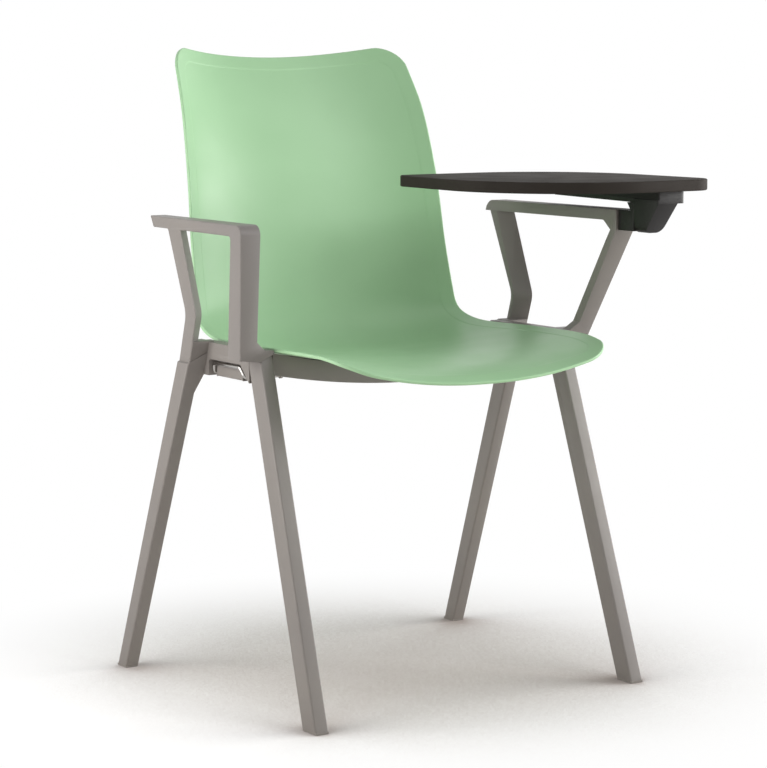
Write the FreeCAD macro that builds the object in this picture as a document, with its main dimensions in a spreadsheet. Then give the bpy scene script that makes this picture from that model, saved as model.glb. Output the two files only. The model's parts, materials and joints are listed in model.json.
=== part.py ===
import FreeCAD, Part
import math
import os
import Sketcher
from FreeCAD import Placement, Rotation, Vector

# A stacking chair: a one-piece moulded shell on two moulded side frames with arms,
# a folding writing tablet on the sitter's left arm and a pull-out link hook in the
# right rail. X points to the sitter's left, Y to the back, Z up from the floor.

os.makedirs("parts", exist_ok=True)
doc = FreeCAD.newDocument("chair")
sheet = doc.addObject("Spreadsheet::Sheet", "Sizes")

SIZES = (
    # General
    ("overrun", 5, "how far a cutting tool passes the face it cuts"),
    ("seat_gap", 0.3, "clearance between a piece and the piece it rests on"),
    ("running_gap", 0.05, "radial clearance of a part that turns or slides"),
    ("edge_round", 2.6, "rounding of the long edges of the legs"),
    ("arm_bevel", 1.2, "bevel of the edges of the arms"),
    # Shell
    ("shell_wall", 4.6, "thickness of the shell"),
    ("seat_half", 226, "half width of the seat over its rims"),
    ("seat_reach", 251, "front lip ahead of the middle of the chair"),
    ("seat_under_rail", 9, "middle of the seat below the top of the rail"),
    ("rim_rise", 25, "seat rims above the middle of the seat"),
    ("back_reach", 303, "top of the back behind the middle of the chair"),
    ("back_rise", 408, "top corners of the back above the middle of the seat"),
    ("top_dip", 13.5, "middle of the top edge below its corners"),
    ("lip_back", 8, "corners of the seat's front edge behind the seat's reach"),
    ("lip_bow", 7, "how far the front edge bows forward in its middle"),
    ("lip_half", 215.2, "half width of the seat where its front corners start"),
    ("top_half", 189.5, "half width of the back where its top corners start"),
    ("lip_corner", 54, "front corners of the seat, rounded over this length"),
    ("top_corner", 33, "top corners of the back, rounded over this length"),
    ("boss_half", 110, "seat bosses left and right of the middle"),
    ("boss_wide", 9, "radius of a seat boss"),
    ("seat_screw_thin", 2.5, "radius of a seat screw"),
    ("seat_screw_head", 5, "radius of a seat screw's head"),
    ("seat_screw_cap", 3, "height of a seat screw's head"),
    ("seat_screw_sink", 0.6, "head of a seat screw sunk into the beam"),
    # Legs
    ("glide_tall", 3.5, "height of a foot glide"),
    ("glide_inset", 0.4, "glide stands in from the leg's sides"),
    ("glide_plug", 5, "radius of the plug that holds a glide"),
    ("glide_bevel", 1, "bevel of a glide's edges"),
    ("glide_plug_long", 14, "length of that plug"),
    ("leg_wide", 20, "width of a leg at its foot"),
    ("front_foot_out", 261, "outer side of the front foot from the middle"),
    ("front_foot_ahead", 242, "front of the front foot ahead of the middle"),
    ("front_foot_deep", 32, "depth of the front foot"),
    ("front_hip_out", 247.5, "outer side of the front leg's top"),
    ("front_hip_in", 227.8, "inner side of the front leg's top"),
    ("front_hip_ahead", 90, "front of the front leg's top ahead of the middle"),
    ("front_hip_deep", 33, "depth of the front leg's top"),
    ("rear_foot_out", 286, "outer side of the rear foot"),
    ("rear_foot_behind", 216, "front of the rear foot behind the middle"),
    ("rear_foot_deep", 24, "depth of the rear foot"),
    ("rear_hip_out", 275.6, "outer side of the rear leg's top"),
    ("rear_hip_behind", 50, "front of the rear leg's top behind the middle"),
    ("rear_hip_deep", 30, "depth of the rear leg's top"),
    ("rear_seam_drop", 14, "outer end of the rear leg's seam below the top of the rail"),
    ("rear_neck", 22, "chamfer below the rail's rear corner"),
    ("rail_deep", 30, "depth of the rail"),
    ("rail_top", 454, "seam between the rail and the arm"),
    ("rail_in", 229, "inner face of the rail"),
    ("rail_out", 248, "outer face of the rail"),
    ("front_seam_rise", 9.5, "inner end of the front leg's seam above the rail"),
    ("front_seam_out", 457, "outer end of the arm's foot above the front leg"),
    # Link hook and its recess
    ("wire_thin", 2.75, "radius of the link wire"),
    ("recess_deep", 12, "depth of the link recess in the rail"),
    ("recess_tall", 22, "height of the link recess"),
    ("recess_front", 61, "front end of the recess ahead of the middle"),
    ("recess_behind", 43, "rear end of the recess behind the middle"),
    ("hook_bar_half", 34, "half length of the hook's outer bar"),
    ("hook_leg_half", 39.5, "half distance between the hook's legs"),
    ("hook_rise", 12.5, "outer bar above the legs"),
    ("hook_legs_up", 4.6, "legs above the rail's underside"),
    ("hook_set_in", 0.8, "outer bar inside the rail's outer face"),
    ("hook_leg_turn", 3.5, "legs turn up this far inside the outer bar"),
    ("hook_leg_long", 62, "length of a leg inside the rail's outer face"),
    ("hook_bend", 5.5, "bend radius of the wire"),
    ("hook_stop_wide", 4.4, "radius of the stop on a leg's end"),
    ("hook_stop_long", 3, "length of that stop"),
    # Arms
    ("arm_out", 278, "outer side of the arm at its front post"),
    ("arm_taper", 8.6, "how much further in the arm's outer side is at its rear end"),
    ("arm_wide", 29, "width of the arm's bar at the front"),
    ("post_wide", 25, "width of the front post at its foot"),
    ("arm_narrow", 6, "how much narrower the arm is at its rear end"),
    ("bar_thick", 15, "thickness of the arm's bar"),
    ("foot_bar_thick", 14, "thickness of the bar along the rail"),
    ("flange_rise", 12, "fillet from the arm's foot up to its post"),
    ("right_arm_rise", 175.5, "top of the right arm above the rail"),
    ("left_arm_rise", 183.5, "top of the left arm above the rail"),
    ("arm_tail", 161, "rear end of the right arm behind the middle"),
    ("arm_tail_slope", 9, "how much further forward its underside ends"),
    ("post_front_ahead", 94, "front of the right arm's corner ahead of the middle"),
    ("post_front_deep", 28.5, "depth of the right arm's front post at its top"),
    ("post_foot_deep", 34, "depth of the right arm's front post at its foot"),
    ("arm_corner", 13, "outer radius of the right arm's front corner"),
    ("arm_inner_corner", 6, "inner radius of the arm's corners"),
    ("kink_rise", 51, "kink of the rear post above the rail"),
    ("kink_behind", 30, "front of the rear post at its kink"),
    ("kink_deep", 30, "depth of the rear post at its kink"),
    ("kink_round", 26, "radius of the kink"),
    ("post_top_behind", 71, "front of the rear post below the bar"),
    ("post_top_deep", 38.5, "depth of the rear post below the bar"),
    ("post_slant", 0.95, "how fast the rear post's front face runs back, to its inner side"),
    ("post_inner", 254, "inner side of the rear post"),
    ("post_rear_slant", 0.25, "how fast the rear post's rear face runs forward"),
    ("left_corner", 18, "radius of the left arm's rear corner"),
    ("left_nose_ahead", 187, "front end of the left arm ahead of the middle"),
    ("left_nose_deep", 27.5, "depth of the left arm's nose, where its front post meets it"),
    ("left_post_deep", 16, "depth of the left arm's leaning post at its foot"),
    ("left_post_top_deep", 13, "depth of that post below the bar"),
    ("left_gusset", 15, "gusset between leaning post and bar"),
    ("arm_bolt_thin", 3, "radius of a bolt that holds an arm"),
    ("arm_bolt_head", 5, "radius of its head"),
    ("arm_bolt_cap", 4, "height of its head"),
    ("arm_bolt_half", 22, "arm bolts ahead of and behind the middle"),
    ("arm_bolt_in", 5.6, "arm bolts outside the rail's inner face"),
    ("arm_bolt_bite", 9, "thread of an arm bolt inside the arm"),
    # Cross beams
    ("beam_deep", 31, "depth of a cross beam, front to back"),
    ("beam_sag", 23, "middle of a beam's underside below its ends"),
    ("beam_end_drop", 18, "underside of a beam's ends below the top of the rail"),
    ("front_beam_ahead", 88, "front of the front beam ahead of the middle"),
    ("rear_beam_behind", 49, "front of the rear beam behind the middle"),
    ("beam_drop", 1.2, "beams below the shell, which stands on its bosses"),
    ("pocket_long", 25, "bolt pocket at a beam's end"),
    ("pocket_wide", 22, "width of that pocket"),
    ("pocket_rise", 3, "top of that pocket above the rail"),
    ("beam_end_wall", 4, "wall between pocket and side frame"),
    ("beam_bolt_thin", 4, "radius of a beam bolt"),
    ("beam_bolt_head", 6.5, "radius of its head"),
    ("beam_bolt_cap", 6, "height of its head"),
    ("beam_bolt_bite", 13, "thread of a beam bolt inside the side frame"),
    ("beam_bolt_drop", 7, "beam bolts below the top of the rail"),
    # Tablet
    ("tablet_over_arm", 42.5, "top of the tablet above the left arm"),
    ("tablet_thick", 15, "thickness of the tablet"),
    ("tablet_bevel", 1.2, "bevel of the tablet's edges"),
    ("tablet_in", 33, "inner edge of the tablet from the middle"),
    ("tablet_wide", 310, "width of the tablet"),
    ("tablet_ahead", 287, "front edge of the tablet ahead of the middle"),
    ("tablet_deep", 330, "depth of the tablet"),
    ("tablet_back_in_round", 24, "radius of its rear inner corner"),
    ("tablet_back_out_round", 160, "radius of its rear outer corner"),
    ("tablet_front_out_round", 38, "radius of its front outer corner"),
    ("tablet_front_in_round", 180, "radius of its front inner corner"),
    # Tablet carrier and hinge
    ("hinge_side", 269, "hinge axis from the middle"),
    ("hinge_under_arm", 11.5, "hinge axis below the left arm's top"),
    ("carrier_in", 253.5, "inner side of the carrier"),
    ("carrier_wide", 46, "width of the carrier at its front"),
    ("carrier_tail_wide", 30, "width of the carrier at its rear end"),
    ("carrier_front_ahead", 272, "front of the carrier ahead of the middle"),
    ("carrier_long", 262, "length of the carrier"),
    ("carrier_thick", 16.5, "thickness of the carrier at the hinge"),
    ("carrier_tail_thick", 14.5, "thickness of the carrier near its rear end"),
    ("carrier_tail_tip", 2.4, "thickness of the carrier at its rear tip"),
    ("carrier_tail_slope", 26, "length of the sloping rear end"),
    ("boot_back_ahead", 220, "rear face of the boot ahead of the middle"),
    ("boot_toe", 31, "how far the boot's front slopes back"),
    ("boot_wide", 33, "width of the boot at its top"),
    ("boot_narrow", 29, "width of the boot at its foot"),
    ("boot_deep", 17.5, "boot below the hinge axis"),
    ("boot_round", 10, "radius of the boot's lower corners"),
    ("bracket_ahead", 219.6, "front face of the hinge bracket"),
    ("bracket_sleeve", 26, "length of the bracket's low part"),
    ("bracket_lip", 8, "how far the stop overhangs the low part"),
    ("bracket_barrel", 15.3, "radius of the bracket round the hinge axis"),
    ("pin_thin", 5, "radius of the hinge pin"),
    ("pin_back_ahead", 198, "rear end of the hinge pin ahead of the middle"),
    ("pin_front_ahead", 244, "front end of the hinge pin ahead of the middle"),
    ("small_step", 1.5, "small step or corner of a moulding"),
    ("bracket_bolt_thin", 2.5, "radius of a bracket bolt"),
    ("bracket_bolt_head", 4.2, "radius of its head"),
    ("bracket_bolt_cap", 4, "height of its head"),
    ("bracket_bolt_bite", 13, "thread of a bracket bolt inside the arm"),
    ("bracket_bolt_in", 6, "bracket bolts outside the bracket's inner side"),
    ("bracket_bolt_half", 9, "bracket bolts above and below the hinge axis"),
    ("tablet_screw_thin", 2, "radius of a tablet screw"),
    ("tablet_screw_head", 4, "radius of its head"),
    ("tablet_screw_cap", 2.5, "height of its head"),
    ("tablet_screw_bite", 11, "thread of a tablet screw inside the tablet"),
    ("tablet_screw_side", 21, "tablet screws from the carrier's inner side"),
    ("tablet_screw_grip", 7, "carrier's wall under a screw's head"),
    ("tablet_screw_pitch", 66, "distance between tablet screws"),
    ("tablet_screw_start", 62, "first tablet screw behind the carrier's front"),
)

# Heights that follow the rail or the left arm, as formulas of the sheet.
FOLLOWING = (
    ("seat_low", "=rail_top - seat_under_rail", "height of the middle of the seat"),
    ("rear_seam_out", "=rail_top - rear_seam_drop", "outer end of the rear leg's seam"),
    ("rail_low", "=rail_top - rail_deep", "underside of the rail"),
    ("front_seam_in", "=rail_top + front_seam_rise", "inner end of the front leg's seam"),
    ("right_arm_top", "=rail_top + right_arm_rise", "top of the right arm"),
    ("left_arm_top", "=rail_top + left_arm_rise", "top of the left arm"),
    ("kink_tall", "=rail_top + kink_rise", "height of the rear post's kink"),
    ("beam_end_low", "=rail_top - beam_end_drop", "underside of a beam at its ends"),
    ("pocket_top", "=rail_top + pocket_rise", "top of a beam's end pocket"),
    ("beam_bolt_tall", "=rail_top - beam_bolt_drop", "height of a beam bolt"),
    ("left_nose_low", "=left_arm_top - left_nose_deep", "height of the nose's underside"),
    ("tablet_top_tall", "=left_arm_top + tablet_over_arm", "height of the tablet's top"),
    ("hinge_tall", "=left_arm_top - hinge_under_arm", "height of the hinge axis"),
)

for row, (alias, value, note) in enumerate(SIZES + FOLLOWING, start=1):
    sheet.set("A%d" % row, str(value))
    sheet.set("B%d" % row, note)
    sheet.setAlias("A%d" % row, alias)
doc.recompute()


def size(alias):
    return float(sheet.get(alias))


# Planes of the outlines: a side view holds (y, z), a front view (x, z), a plan (x, y).
PLANES = {
    "side": Rotation(Vector(0, 1, 0), Vector(0, 0, 1), Vector(1, 0, 0), "ZXY"),
    "front": Rotation(Vector(1, 0, 0), Vector(0, 0, 1), Vector(0, -1, 0), "ZXY"),
    "plan": Rotation(Vector(1, 0, 0), Vector(0, 1, 0), Vector(0, 0, 1), "ZXY"),
}


SAME_PLACE = 1e-6


def rounded_edges(corners):
    """Lines and arcs of a closed outline; a corner is (u, v) or (u, v, radius)."""
    ends = []
    arcs = []
    for index, corner in enumerate(corners):
        here = Vector(corner[0], corner[1], 0)
        radius = corner[2] if len(corner) > 2 else 0
        before = Vector(*corners[index - 1][:2], 0) - here
        after = Vector(*corners[(index + 1) % len(corners)][:2], 0) - here
        if not radius:
            ends.append((here, here))
            arcs.append(None)
            continue
        before.normalize()
        after.normalize()
        half = before.getAngle(after) / 2
        reach = radius / math.tan(half)
        centre = here + (before + after).normalize() * (radius / math.sin(half))
        middle = centre + (here - centre).normalize() * radius
        ends.append((here + before * reach, here + after * reach))
        arcs.append(middle)
    edges = []
    for index, middle in enumerate(arcs):
        start, finish = ends[index]
        if middle is not None:
            edges.append(Part.Arc(start, middle, finish))
        following = ends[(index + 1) % len(ends)][0]
        if not finish.isEqual(following, SAME_PLACE):
            edges.append(Part.LineSegment(finish, following))
    return edges


def outline(name, plane, edges, place=0):
    """A closed outline in one of the planes, moved along the plane's normal to a place."""
    sketch = doc.addObject("Sketcher::SketchObject", name)
    turn = PLANES[plane]
    sketch.Placement = Placement(turn.multVec(Vector(0, 0, place)), turn)
    for edge in edges:
        sketch.addGeometry(edge, False)
    return sketch


def extruded(name, plane, edges, low, high):
    """An outline in one of the planes, extruded from one expression to another."""
    solid = doc.addObject("Part::Extrusion", name)
    solid.Base = outline(name + "_outline", plane, edges)
    solid.DirMode = "Normal"
    solid.Solid = True
    solid.setExpression("LengthFwd", high)
    solid.setExpression("LengthRev", "-(%s)" % low)
    return solid


def prism(name, plane, corners, low, high):
    """A prism over straight sides with rounded corners."""
    return extruded(name, plane, rounded_edges(corners), low, high)


def common(name, shapes):
    result = doc.addObject("Part::MultiCommon", name)
    result.Shapes = shapes
    return result


def fuse(name, shapes):
    result = doc.addObject("Part::MultiFuse", name)
    result.Shapes = shapes
    result.Refine = True
    return result


def cut(name, base, tools):
    for index, tool in enumerate(tools):
        result = doc.addObject("Part::Cut", name if index + 1 == len(tools) else name + "_step")
        result.Base = base
        result.Tool = tool
        base = result
    return base


def soften(kind, name, base, radius, wanted):
    """A Fillet or a Chamfer of the edges of base that the function wanted chooses."""
    doc.recompute()
    result = doc.addObject("Part::" + kind, name)
    result.Base = base
    result.Edges = [
        (index, radius, radius)
        for index, edge in enumerate(base.Shape.Edges, start=1)
        if wanted(edge)
    ]
    return result


def mirror(name, source):
    result = doc.addObject("Part::Mirroring", name)
    result.Source = source
    result.Normal = Vector(1, 0, 0)
    return result


def box(name, spans):
    """A box whose sides are expressions: (x low, x high, y low, y high, z low, z high)."""
    result = doc.addObject("Part::Box", name)
    for side, axis, low, high in zip(
        ("Length", "Width", "Height"), "xyz", spans[0::2], spans[1::2]
    ):
        result.setExpression(side, "(%s) - (%s)" % (high, low))
        result.setExpression("Placement.Base." + axis, low)
    return result


QUARTER_TURN = 90
TURNS = {
    "X": Rotation(Vector(0, 1, 0), QUARTER_TURN),
    "-X": Rotation(Vector(0, 1, 0), -QUARTER_TURN),
    "Y": Rotation(Vector(1, 0, 0), -QUARTER_TURN),
    "-Y": Rotation(Vector(1, 0, 0), QUARTER_TURN),
    "Z": Rotation(),
    "-Z": Rotation(Vector(1, 0, 0), QUARTER_TURN * 2),
}
HEAD_SIDE_COUNT = 6


def rod(name, radius, length, place, direction="Z"):
    """A cylinder from place along direction; all sizes and the place are expressions."""
    result = doc.addObject("Part::Cylinder", name)
    result.Placement = Placement(Vector(), TURNS[direction])
    result.setExpression("Radius", radius)
    result.setExpression("Height", length)
    for axis, value in zip("xyz", place):
        result.setExpression("Placement.Base." + axis, value)
    return result


def hexagon(name, radius, length, place, direction):
    """A six-sided bar from place along direction, as a bolt's head."""
    result = doc.addObject("Part::Prism", name)
    result.Polygon = HEAD_SIDE_COUNT
    result.Placement = Placement(Vector(), TURNS[direction])
    result.setExpression("Circumradius", radius)
    result.setExpression("Height", length)
    for axis, value in zip("xyz", place):
        result.setExpression("Placement.Base." + axis, value)
    return result


def bolt(name, prefix, long_way, place, direction):
    """A cap bolt: its head ends at place, its shank runs long_way along direction."""
    head = hexagon(name + "_head", "Sizes.%s_head" % prefix, "Sizes.%s_cap" % prefix,
                   place, "-" + direction if not direction.startswith("-") else direction[1:])
    shank = rod(name + "_shank", "Sizes.%s_thin" % prefix, long_way, place, direction)
    return fuse(name, [head, shank])


def line_at(low, high, tall):
    """Where the line through two (place, height) points is at another height."""
    share = (tall - low[1]) / (high[1] - low[1])
    return low[0] + (high[0] - low[0]) * share


def long_edge(edge):
    """The long edges of a leg."""
    return edge.BoundBox.ZLength > size("rail_low") / 2


nodes = {}

# Shell. The seat and back are one surface between a centre line and two rims. Its
# stations give the centre and the rim as shares: forward and backward reach, height
# above the middle of the seat as a share of the back's rise, and half width.
REACH = {True: size("seat_reach"), False: size("back_reach")}
# (centre y, centre z, rim x, rim y, rim z): y as a share of the reach on its side,
# z as a share of the back's rise, except the rim height along the seat.
STATION_shares = (
    (-1.006, -0.042, 0.880, -0.996, 0.30),
    (-0.940, -0.021, 0.916, -0.905, 0.62),
    (-0.840, -0.004, 0.942, -0.790, 0.88),
    (-0.660, 0.005, 0.973, -0.620, 1.02),
    (-0.400, 0.005, 0.996, -0.380, 1.02),
    (-0.120, 0.000, 1.000, -0.160, 1.00),
    (0.100, -0.008, 0.992, 0.026, 0.97),
    (0.248, -0.009, 0.978, 0.149, 0.95),
    (0.370, 0.002, 0.965, 0.246, 0.98),
    (0.475, 0.034, 0.952, 0.336, 1.14),
    (0.556, 0.088, 0.940, 0.416, 1.56),
    (0.616, 0.180, 0.930, 0.455, 2.62),
    (0.670, 0.340, 0.916, 0.508, 5.36),
    (0.728, 0.502, 0.902, 0.545, 8.12),
    (0.775, 0.625, 0.889, 0.581, 10.16),
    (0.848, 0.767, 0.868, 0.643, 12.72),
    (0.936, 0.900, 0.843, 0.719, 14.64),
    (1.012, 0.998, 0.812, 0.812, 16.72),
)
# How flat the middle is across: the power of the curve from the centre to the rim.
SEAT_POWER_share = 2.4
BACK_POWER_share = 2.5
ACROSS_shares = (-1, -0.86, -0.62, -0.32, 0, 0.32, 0.62, 0.86, 1)


def guide(points, places=None):
    """A smooth curve through points, at the parameters places where they are given."""
    curve = Part.BSplineCurve()
    if places is None:
        curve.interpolate(points)
    else:
        curve.interpolate(Points=points, Parameters=places)
    return curve


def reach(share):
    return share * REACH[share < 0]


centre_points = [
    Vector(0, reach(row[0]), size("seat_low") + row[1] * size("back_rise"))
    for row in STATION_shares
]
rim_points = [
    Vector(row[2] * size("seat_half"), reach(row[3]),
           size("seat_low") + row[4] * size("rim_rise"))
    for row in STATION_shares
]
steps = [
    before.distanceToPoint(after)
    for before, after in zip(centre_points, centre_points[1:])
]
places = [sum(steps[:index]) / sum(steps) for index in range(len(centre_points))]
centre_line = guide(centre_points, places)
rim_line = guide(rim_points, places)


def shell_point(along, across):
    """A point of the sitting side; along runs 0 to 1, across -1 to 1 over the rims."""
    centre = centre_line.value(along)
    rim = rim_line.value(along)
    power = SEAT_POWER_share + (BACK_POWER_share - SEAT_POWER_share) * along
    rise = (rim - centre) * abs(across) ** power
    return Vector(rim.x * across, centre.y + rise.y, centre.z + rise.z)


def shell_normal(along, across):
    """Direction from the sitting side into the wall."""
    small = 1e-3
    low = max(along - small, 0)
    high = min(along + small, 1)
    left = max(across - small, -1)
    right = min(across + small, 1)
    forward = shell_point(high, across) - shell_point(low, across)
    sideways = shell_point(along, right) - shell_point(along, left)
    return forward.cross(sideways).normalize()


def wall_surface(depth_share):
    """A smooth face parallel to the sitting side, this share of the wall below it."""
    surface = Part.BSplineSurface()
    surface.interpolate([
        [
            shell_point(along, across)
            + shell_normal(along, across) * (size("shell_wall") * depth_share)
            for across in ACROSS_shares
        ]
        for along in stations
    ])
    return surface


def wall_solid():
    """The wall between the sitting side and the underside, closed round its border."""
    top = wall_surface(0)
    bottom = wall_surface(1)
    faces = [top.toShape(), bottom.toShape()]
    first_u, last_u, first_v, last_v = top.bounds()
    for get, at in (("uIso", first_u), ("uIso", last_u), ("vIso", first_v), ("vIso", last_v)):
        upper = getattr(top, get)(at).toShape()
        lower = getattr(bottom, get)(at).toShape()
        faces.append(Part.makeRuledSurface(upper, lower))
    shell = Part.makeShell(faces)
    shell.sewShape()
    return Part.makeSolid(shell.Shells[0])


SEAT_END_share = 0.6
HALVING_COUNT = 30


def underside(x, y):
    """Height of the shell's underside above a place below the seat."""
    low = 0
    high = SEAT_END_share
    for _ in range(HALVING_COUNT):
        along = (low + high) / 2
        across = min(abs(x) / rim_line.value(along).x, 1)
        if shell_point(along, across).y < y:
            low = along
        else:
            high = along
    wall = shell_normal(along, across) * size("shell_wall")
    return shell_point(along, across).z + wall.z


STATION_COUNT = 20
stations = [index / (STATION_COUNT - 1) for index in range(STATION_COUNT)]
wall = doc.addObject("Part::Feature", "shell_sheet")
wall.Shape = wall_solid()

top_tall = size("seat_low") + size("back_rise")
wide = size("seat_half") + size("overrun")
corner = size("top_corner")
CORNER_BOW_share = 0.3


def arch_prism(name, plane, half, end, bulge, drop, low, high):
    """Keeps what lies on the near side of a bowed edge with rounded corners."""
    sign = 1 if end > 0 else -1
    inner = half - drop
    turn = Vector(half - drop * CORNER_BOW_share, end - sign * drop * CORNER_BOW_share, 0)
    far = Vector(wide, end - sign * drop, 0)
    corner_start = Vector(half, end - sign * drop, 0)
    corner_end = Vector(inner, end, 0)
    middle = Vector(0, end + bulge, 0)
    base = -sign * size("seat_low") if plane == "plan" else size("rail_low") - size("beam_sag")

    def flip(point):
        return Vector(-point.x, point.y, 0)

    edges = [
        Part.LineSegment(Vector(wide, base, 0), far),
        Part.LineSegment(far, corner_start),
        Part.Arc(corner_start, turn, corner_end),
        Part.Arc(corner_end, middle, flip(corner_end)),
        Part.Arc(flip(corner_end), flip(turn), flip(corner_start)),
        Part.LineSegment(flip(corner_start), flip(far)),
        Part.LineSegment(flip(far), Vector(-wide, base, 0)),
        Part.LineSegment(Vector(-wide, base, 0), Vector(wide, base, 0)),
    ]
    return extruded(name, plane, edges, low, high)


top_trim = arch_prism("top_trim", "front", size("top_half"), top_tall, -size("top_dip"), corner,
                      "-Sizes.back_reach * 2", "Sizes.seat_reach * 2")
lip_trim = arch_prism("lip_trim", "plan", size("lip_half"),
                      size("lip_back") - size("seat_reach"), -size("lip_bow"), size("lip_corner"),
                      "0", "Sizes.seat_low + Sizes.back_rise * 2")
shell_trimmed = common("shell_trimmed", [wall, top_trim, lip_trim])

beam_middles = (
    ("front", "-Sizes.front_beam_ahead + Sizes.beam_deep / 2",
     -size("front_beam_ahead") + size("beam_deep") / 2),
    ("rear", "Sizes.rear_beam_behind + Sizes.beam_deep / 2",
     size("rear_beam_behind") + size("beam_deep") / 2),
)


def beam_top(x, y):
    """Top of a beam at one place across: a steady drop below the shell."""
    half = size("beam_deep") / 2
    lowest = min(underside(x, y - half), underside(x, y), underside(x, y + half))
    return lowest - size("beam_drop")


bosses = []
beam_bosses = {"front": [], "rear": []}
for place, y_text, y in beam_middles:
    seat_tall = beam_top(size("boss_half"), y)
    for side, sign in (("left", 1), ("right", -1)):
        boss = doc.addObject("Part::Cylinder", "boss_%s_%s" % (place, side))
        boss.setExpression("Radius", "Sizes.boss_wide")
        boss.Height = underside(size("boss_half"), y) + size("shell_wall") / 2 - seat_tall
        boss.Placement = Placement(Vector(sign * size("boss_half"), y, seat_tall), Rotation())
        bosses.append(boss)
        beam_bosses[place].append(boss)
shell_solid = fuse("shell_solid", [shell_trimmed] + bosses)


def beam_low(x):
    """Underside of a beam, an arc between its ends."""
    half = size("front_hip_in")
    sag = size("beam_sag")
    radius = (half ** 2 + sag ** 2) / (2 * sag)
    return size("beam_end_low") - sag + radius - math.sqrt(radius ** 2 - x ** 2)


# Seat screws on the sitter's left, each with its head sunk into the beam's underside.
seat_screws = []
seat_screw_wells = []
for place, y_text, y in beam_middles:
    x = size("boss_half")
    seat = max(beam_low(x - size("seat_screw_head")), beam_low(x + size("seat_screw_head")))
    seat += size("seat_screw_cap") + size("seat_screw_sink")
    spot = ("Sizes.boss_half", y_text, str(seat))
    seat_screws.append(bolt("seat_screw_" + place, "seat_screw",
                            str(underside(x, y) + size("shell_wall") / 2 - seat), spot, "Z"))
    seat_screw_wells.append(rod("seat_screw_well_" + place,
                                "Sizes.seat_screw_head + Sizes.seat_gap",
                                "Sizes.beam_sag", spot, "-Z"))
seat_screw_cuts = seat_screws + [mirror(item.Name + "_other", item) for item in seat_screws]
nodes["seat_shell"] = cut("seat_shell", shell_solid, seat_screw_cuts)

# Side frames, built on the sitter's left and mirrored to the right. Each is a front leg,
# a rail and a rear leg; both legs are a front view crossed with a side view.
front_leg_front = (size("front_foot_ahead") * -1, 0)
front_leg_top = (size("front_hip_ahead") * -1, size("rail_top"))
front_leg_back = (front_leg_front[0] + size("front_foot_deep"), 0)
front_leg_back_top = (front_leg_top[0] + size("front_hip_deep"), size("rail_top"))
rear_leg_front = (size("rear_foot_behind"), 0)
rear_leg_top = (size("rear_hip_behind"), size("rear_seam_out"))
rear_leg_back = (rear_leg_front[0] + size("rear_foot_deep"), 0)
rear_leg_back_top = (rear_leg_top[0] + size("rear_hip_deep"), size("rear_seam_out"))
foot = size("glide_tall")
above_seam = size("front_seam_in") + size("overrun")


def leg_side_view(front, front_top, back, back_top, low, high):
    return [
        (line_at(front, front_top, low), low),
        (line_at(back, back_top, low), low),
        (line_at(back, back_top, high), high),
        (line_at(front, front_top, high), high),
    ]


SIDE_REACH = ("Sizes.rail_in - Sizes.overrun * 2", "Sizes.rear_foot_out + Sizes.overrun")
FRONT_HALF = ("0", "Sizes.front_foot_ahead + Sizes.overrun")
REAR_HALF = ("-Sizes.rear_foot_behind - Sizes.rear_foot_deep - Sizes.overrun", "0")

front_outer = (size("front_foot_out"), 0)
front_outer_top = (size("front_hip_out"), size("rail_top"))
front_inner = (size("front_foot_out") - size("leg_wide"), 0)
front_inner_top = (size("front_hip_in"), size("front_seam_in"))
front_leg_view = [
    (line_at(front_outer, front_outer_top, foot), foot),
    front_outer_top,
    front_inner_top,
    (line_at(front_inner, front_inner_top, foot), foot),
]
rear_outer = (size("rear_foot_out"), 0)
rear_outer_hip = (size("rear_hip_out"), size("rear_seam_out"))
rear_inner = (size("rear_foot_out") - size("leg_wide"), 0)
neck = size("rear_neck")
rear_leg_view = [
    (line_at(rear_outer, rear_outer_hip, foot), foot),
    rear_outer_hip,
    (size("rail_out"), size("rail_top")),
    (size("rail_in"), size("rail_top")),
    (size("rail_in"), size("rail_low")),
    (size("rail_out"), size("rail_low")),
    (line_at(rear_inner, (rear_outer_hip[0] - size("leg_wide"), rear_outer_hip[1]),
             size("rail_low") - neck), size("rail_low") - neck),
    (line_at(rear_inner, (rear_outer_hip[0] - size("leg_wide"), rear_outer_hip[1]), foot), foot),
]

front_leg_sharp = common("front_leg_sharp", [
    prism("front_leg_front_view", "front", front_leg_view, *FRONT_HALF),
    prism("front_leg_side_view", "side",
          leg_side_view(front_leg_front, front_leg_top, front_leg_back,
                        front_leg_back_top, foot - size("overrun"), above_seam),
          *SIDE_REACH),
])
rear_leg_sharp = common("rear_leg_sharp", [
    prism("rear_leg_front_view", "front", rear_leg_view, *REAR_HALF),
    prism("rear_leg_side_view", "side",
          leg_side_view(rear_leg_front, rear_leg_top, rear_leg_back,
                        rear_leg_back_top, foot - size("overrun"), above_seam),
          *SIDE_REACH),
])
front_leg = soften("Fillet", "front_leg", front_leg_sharp, size("edge_round"), long_edge)
rear_leg = soften("Fillet", "rear_leg", rear_leg_sharp, size("edge_round"), long_edge)
rail = box("rail", (
    "Sizes.rail_in", "Sizes.rail_out",
    "-Sizes.front_hip_ahead + Sizes.front_hip_deep - Sizes.overrun",
    "Sizes.rear_hip_behind + Sizes.overrun * 2",
    "Sizes.rail_low", "Sizes.rail_top"))
recess_low = size("rail_low") - size("overrun")
recess_high = size("rail_low") + size("recess_tall")
recess = prism("link_recess", "side", [
    (-size("recess_front"), recess_low),
    (size("recess_behind"), recess_low),
    (size("recess_behind"), recess_high, size("hook_bend")),
    (-size("recess_front") + size("recess_tall"), recess_high, size("hook_bend")),
    (-size("recess_front"), size("rail_low"), size("hook_bend")),
], "Sizes.rail_out - Sizes.recess_deep", "Sizes.rail_out + Sizes.overrun")

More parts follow.
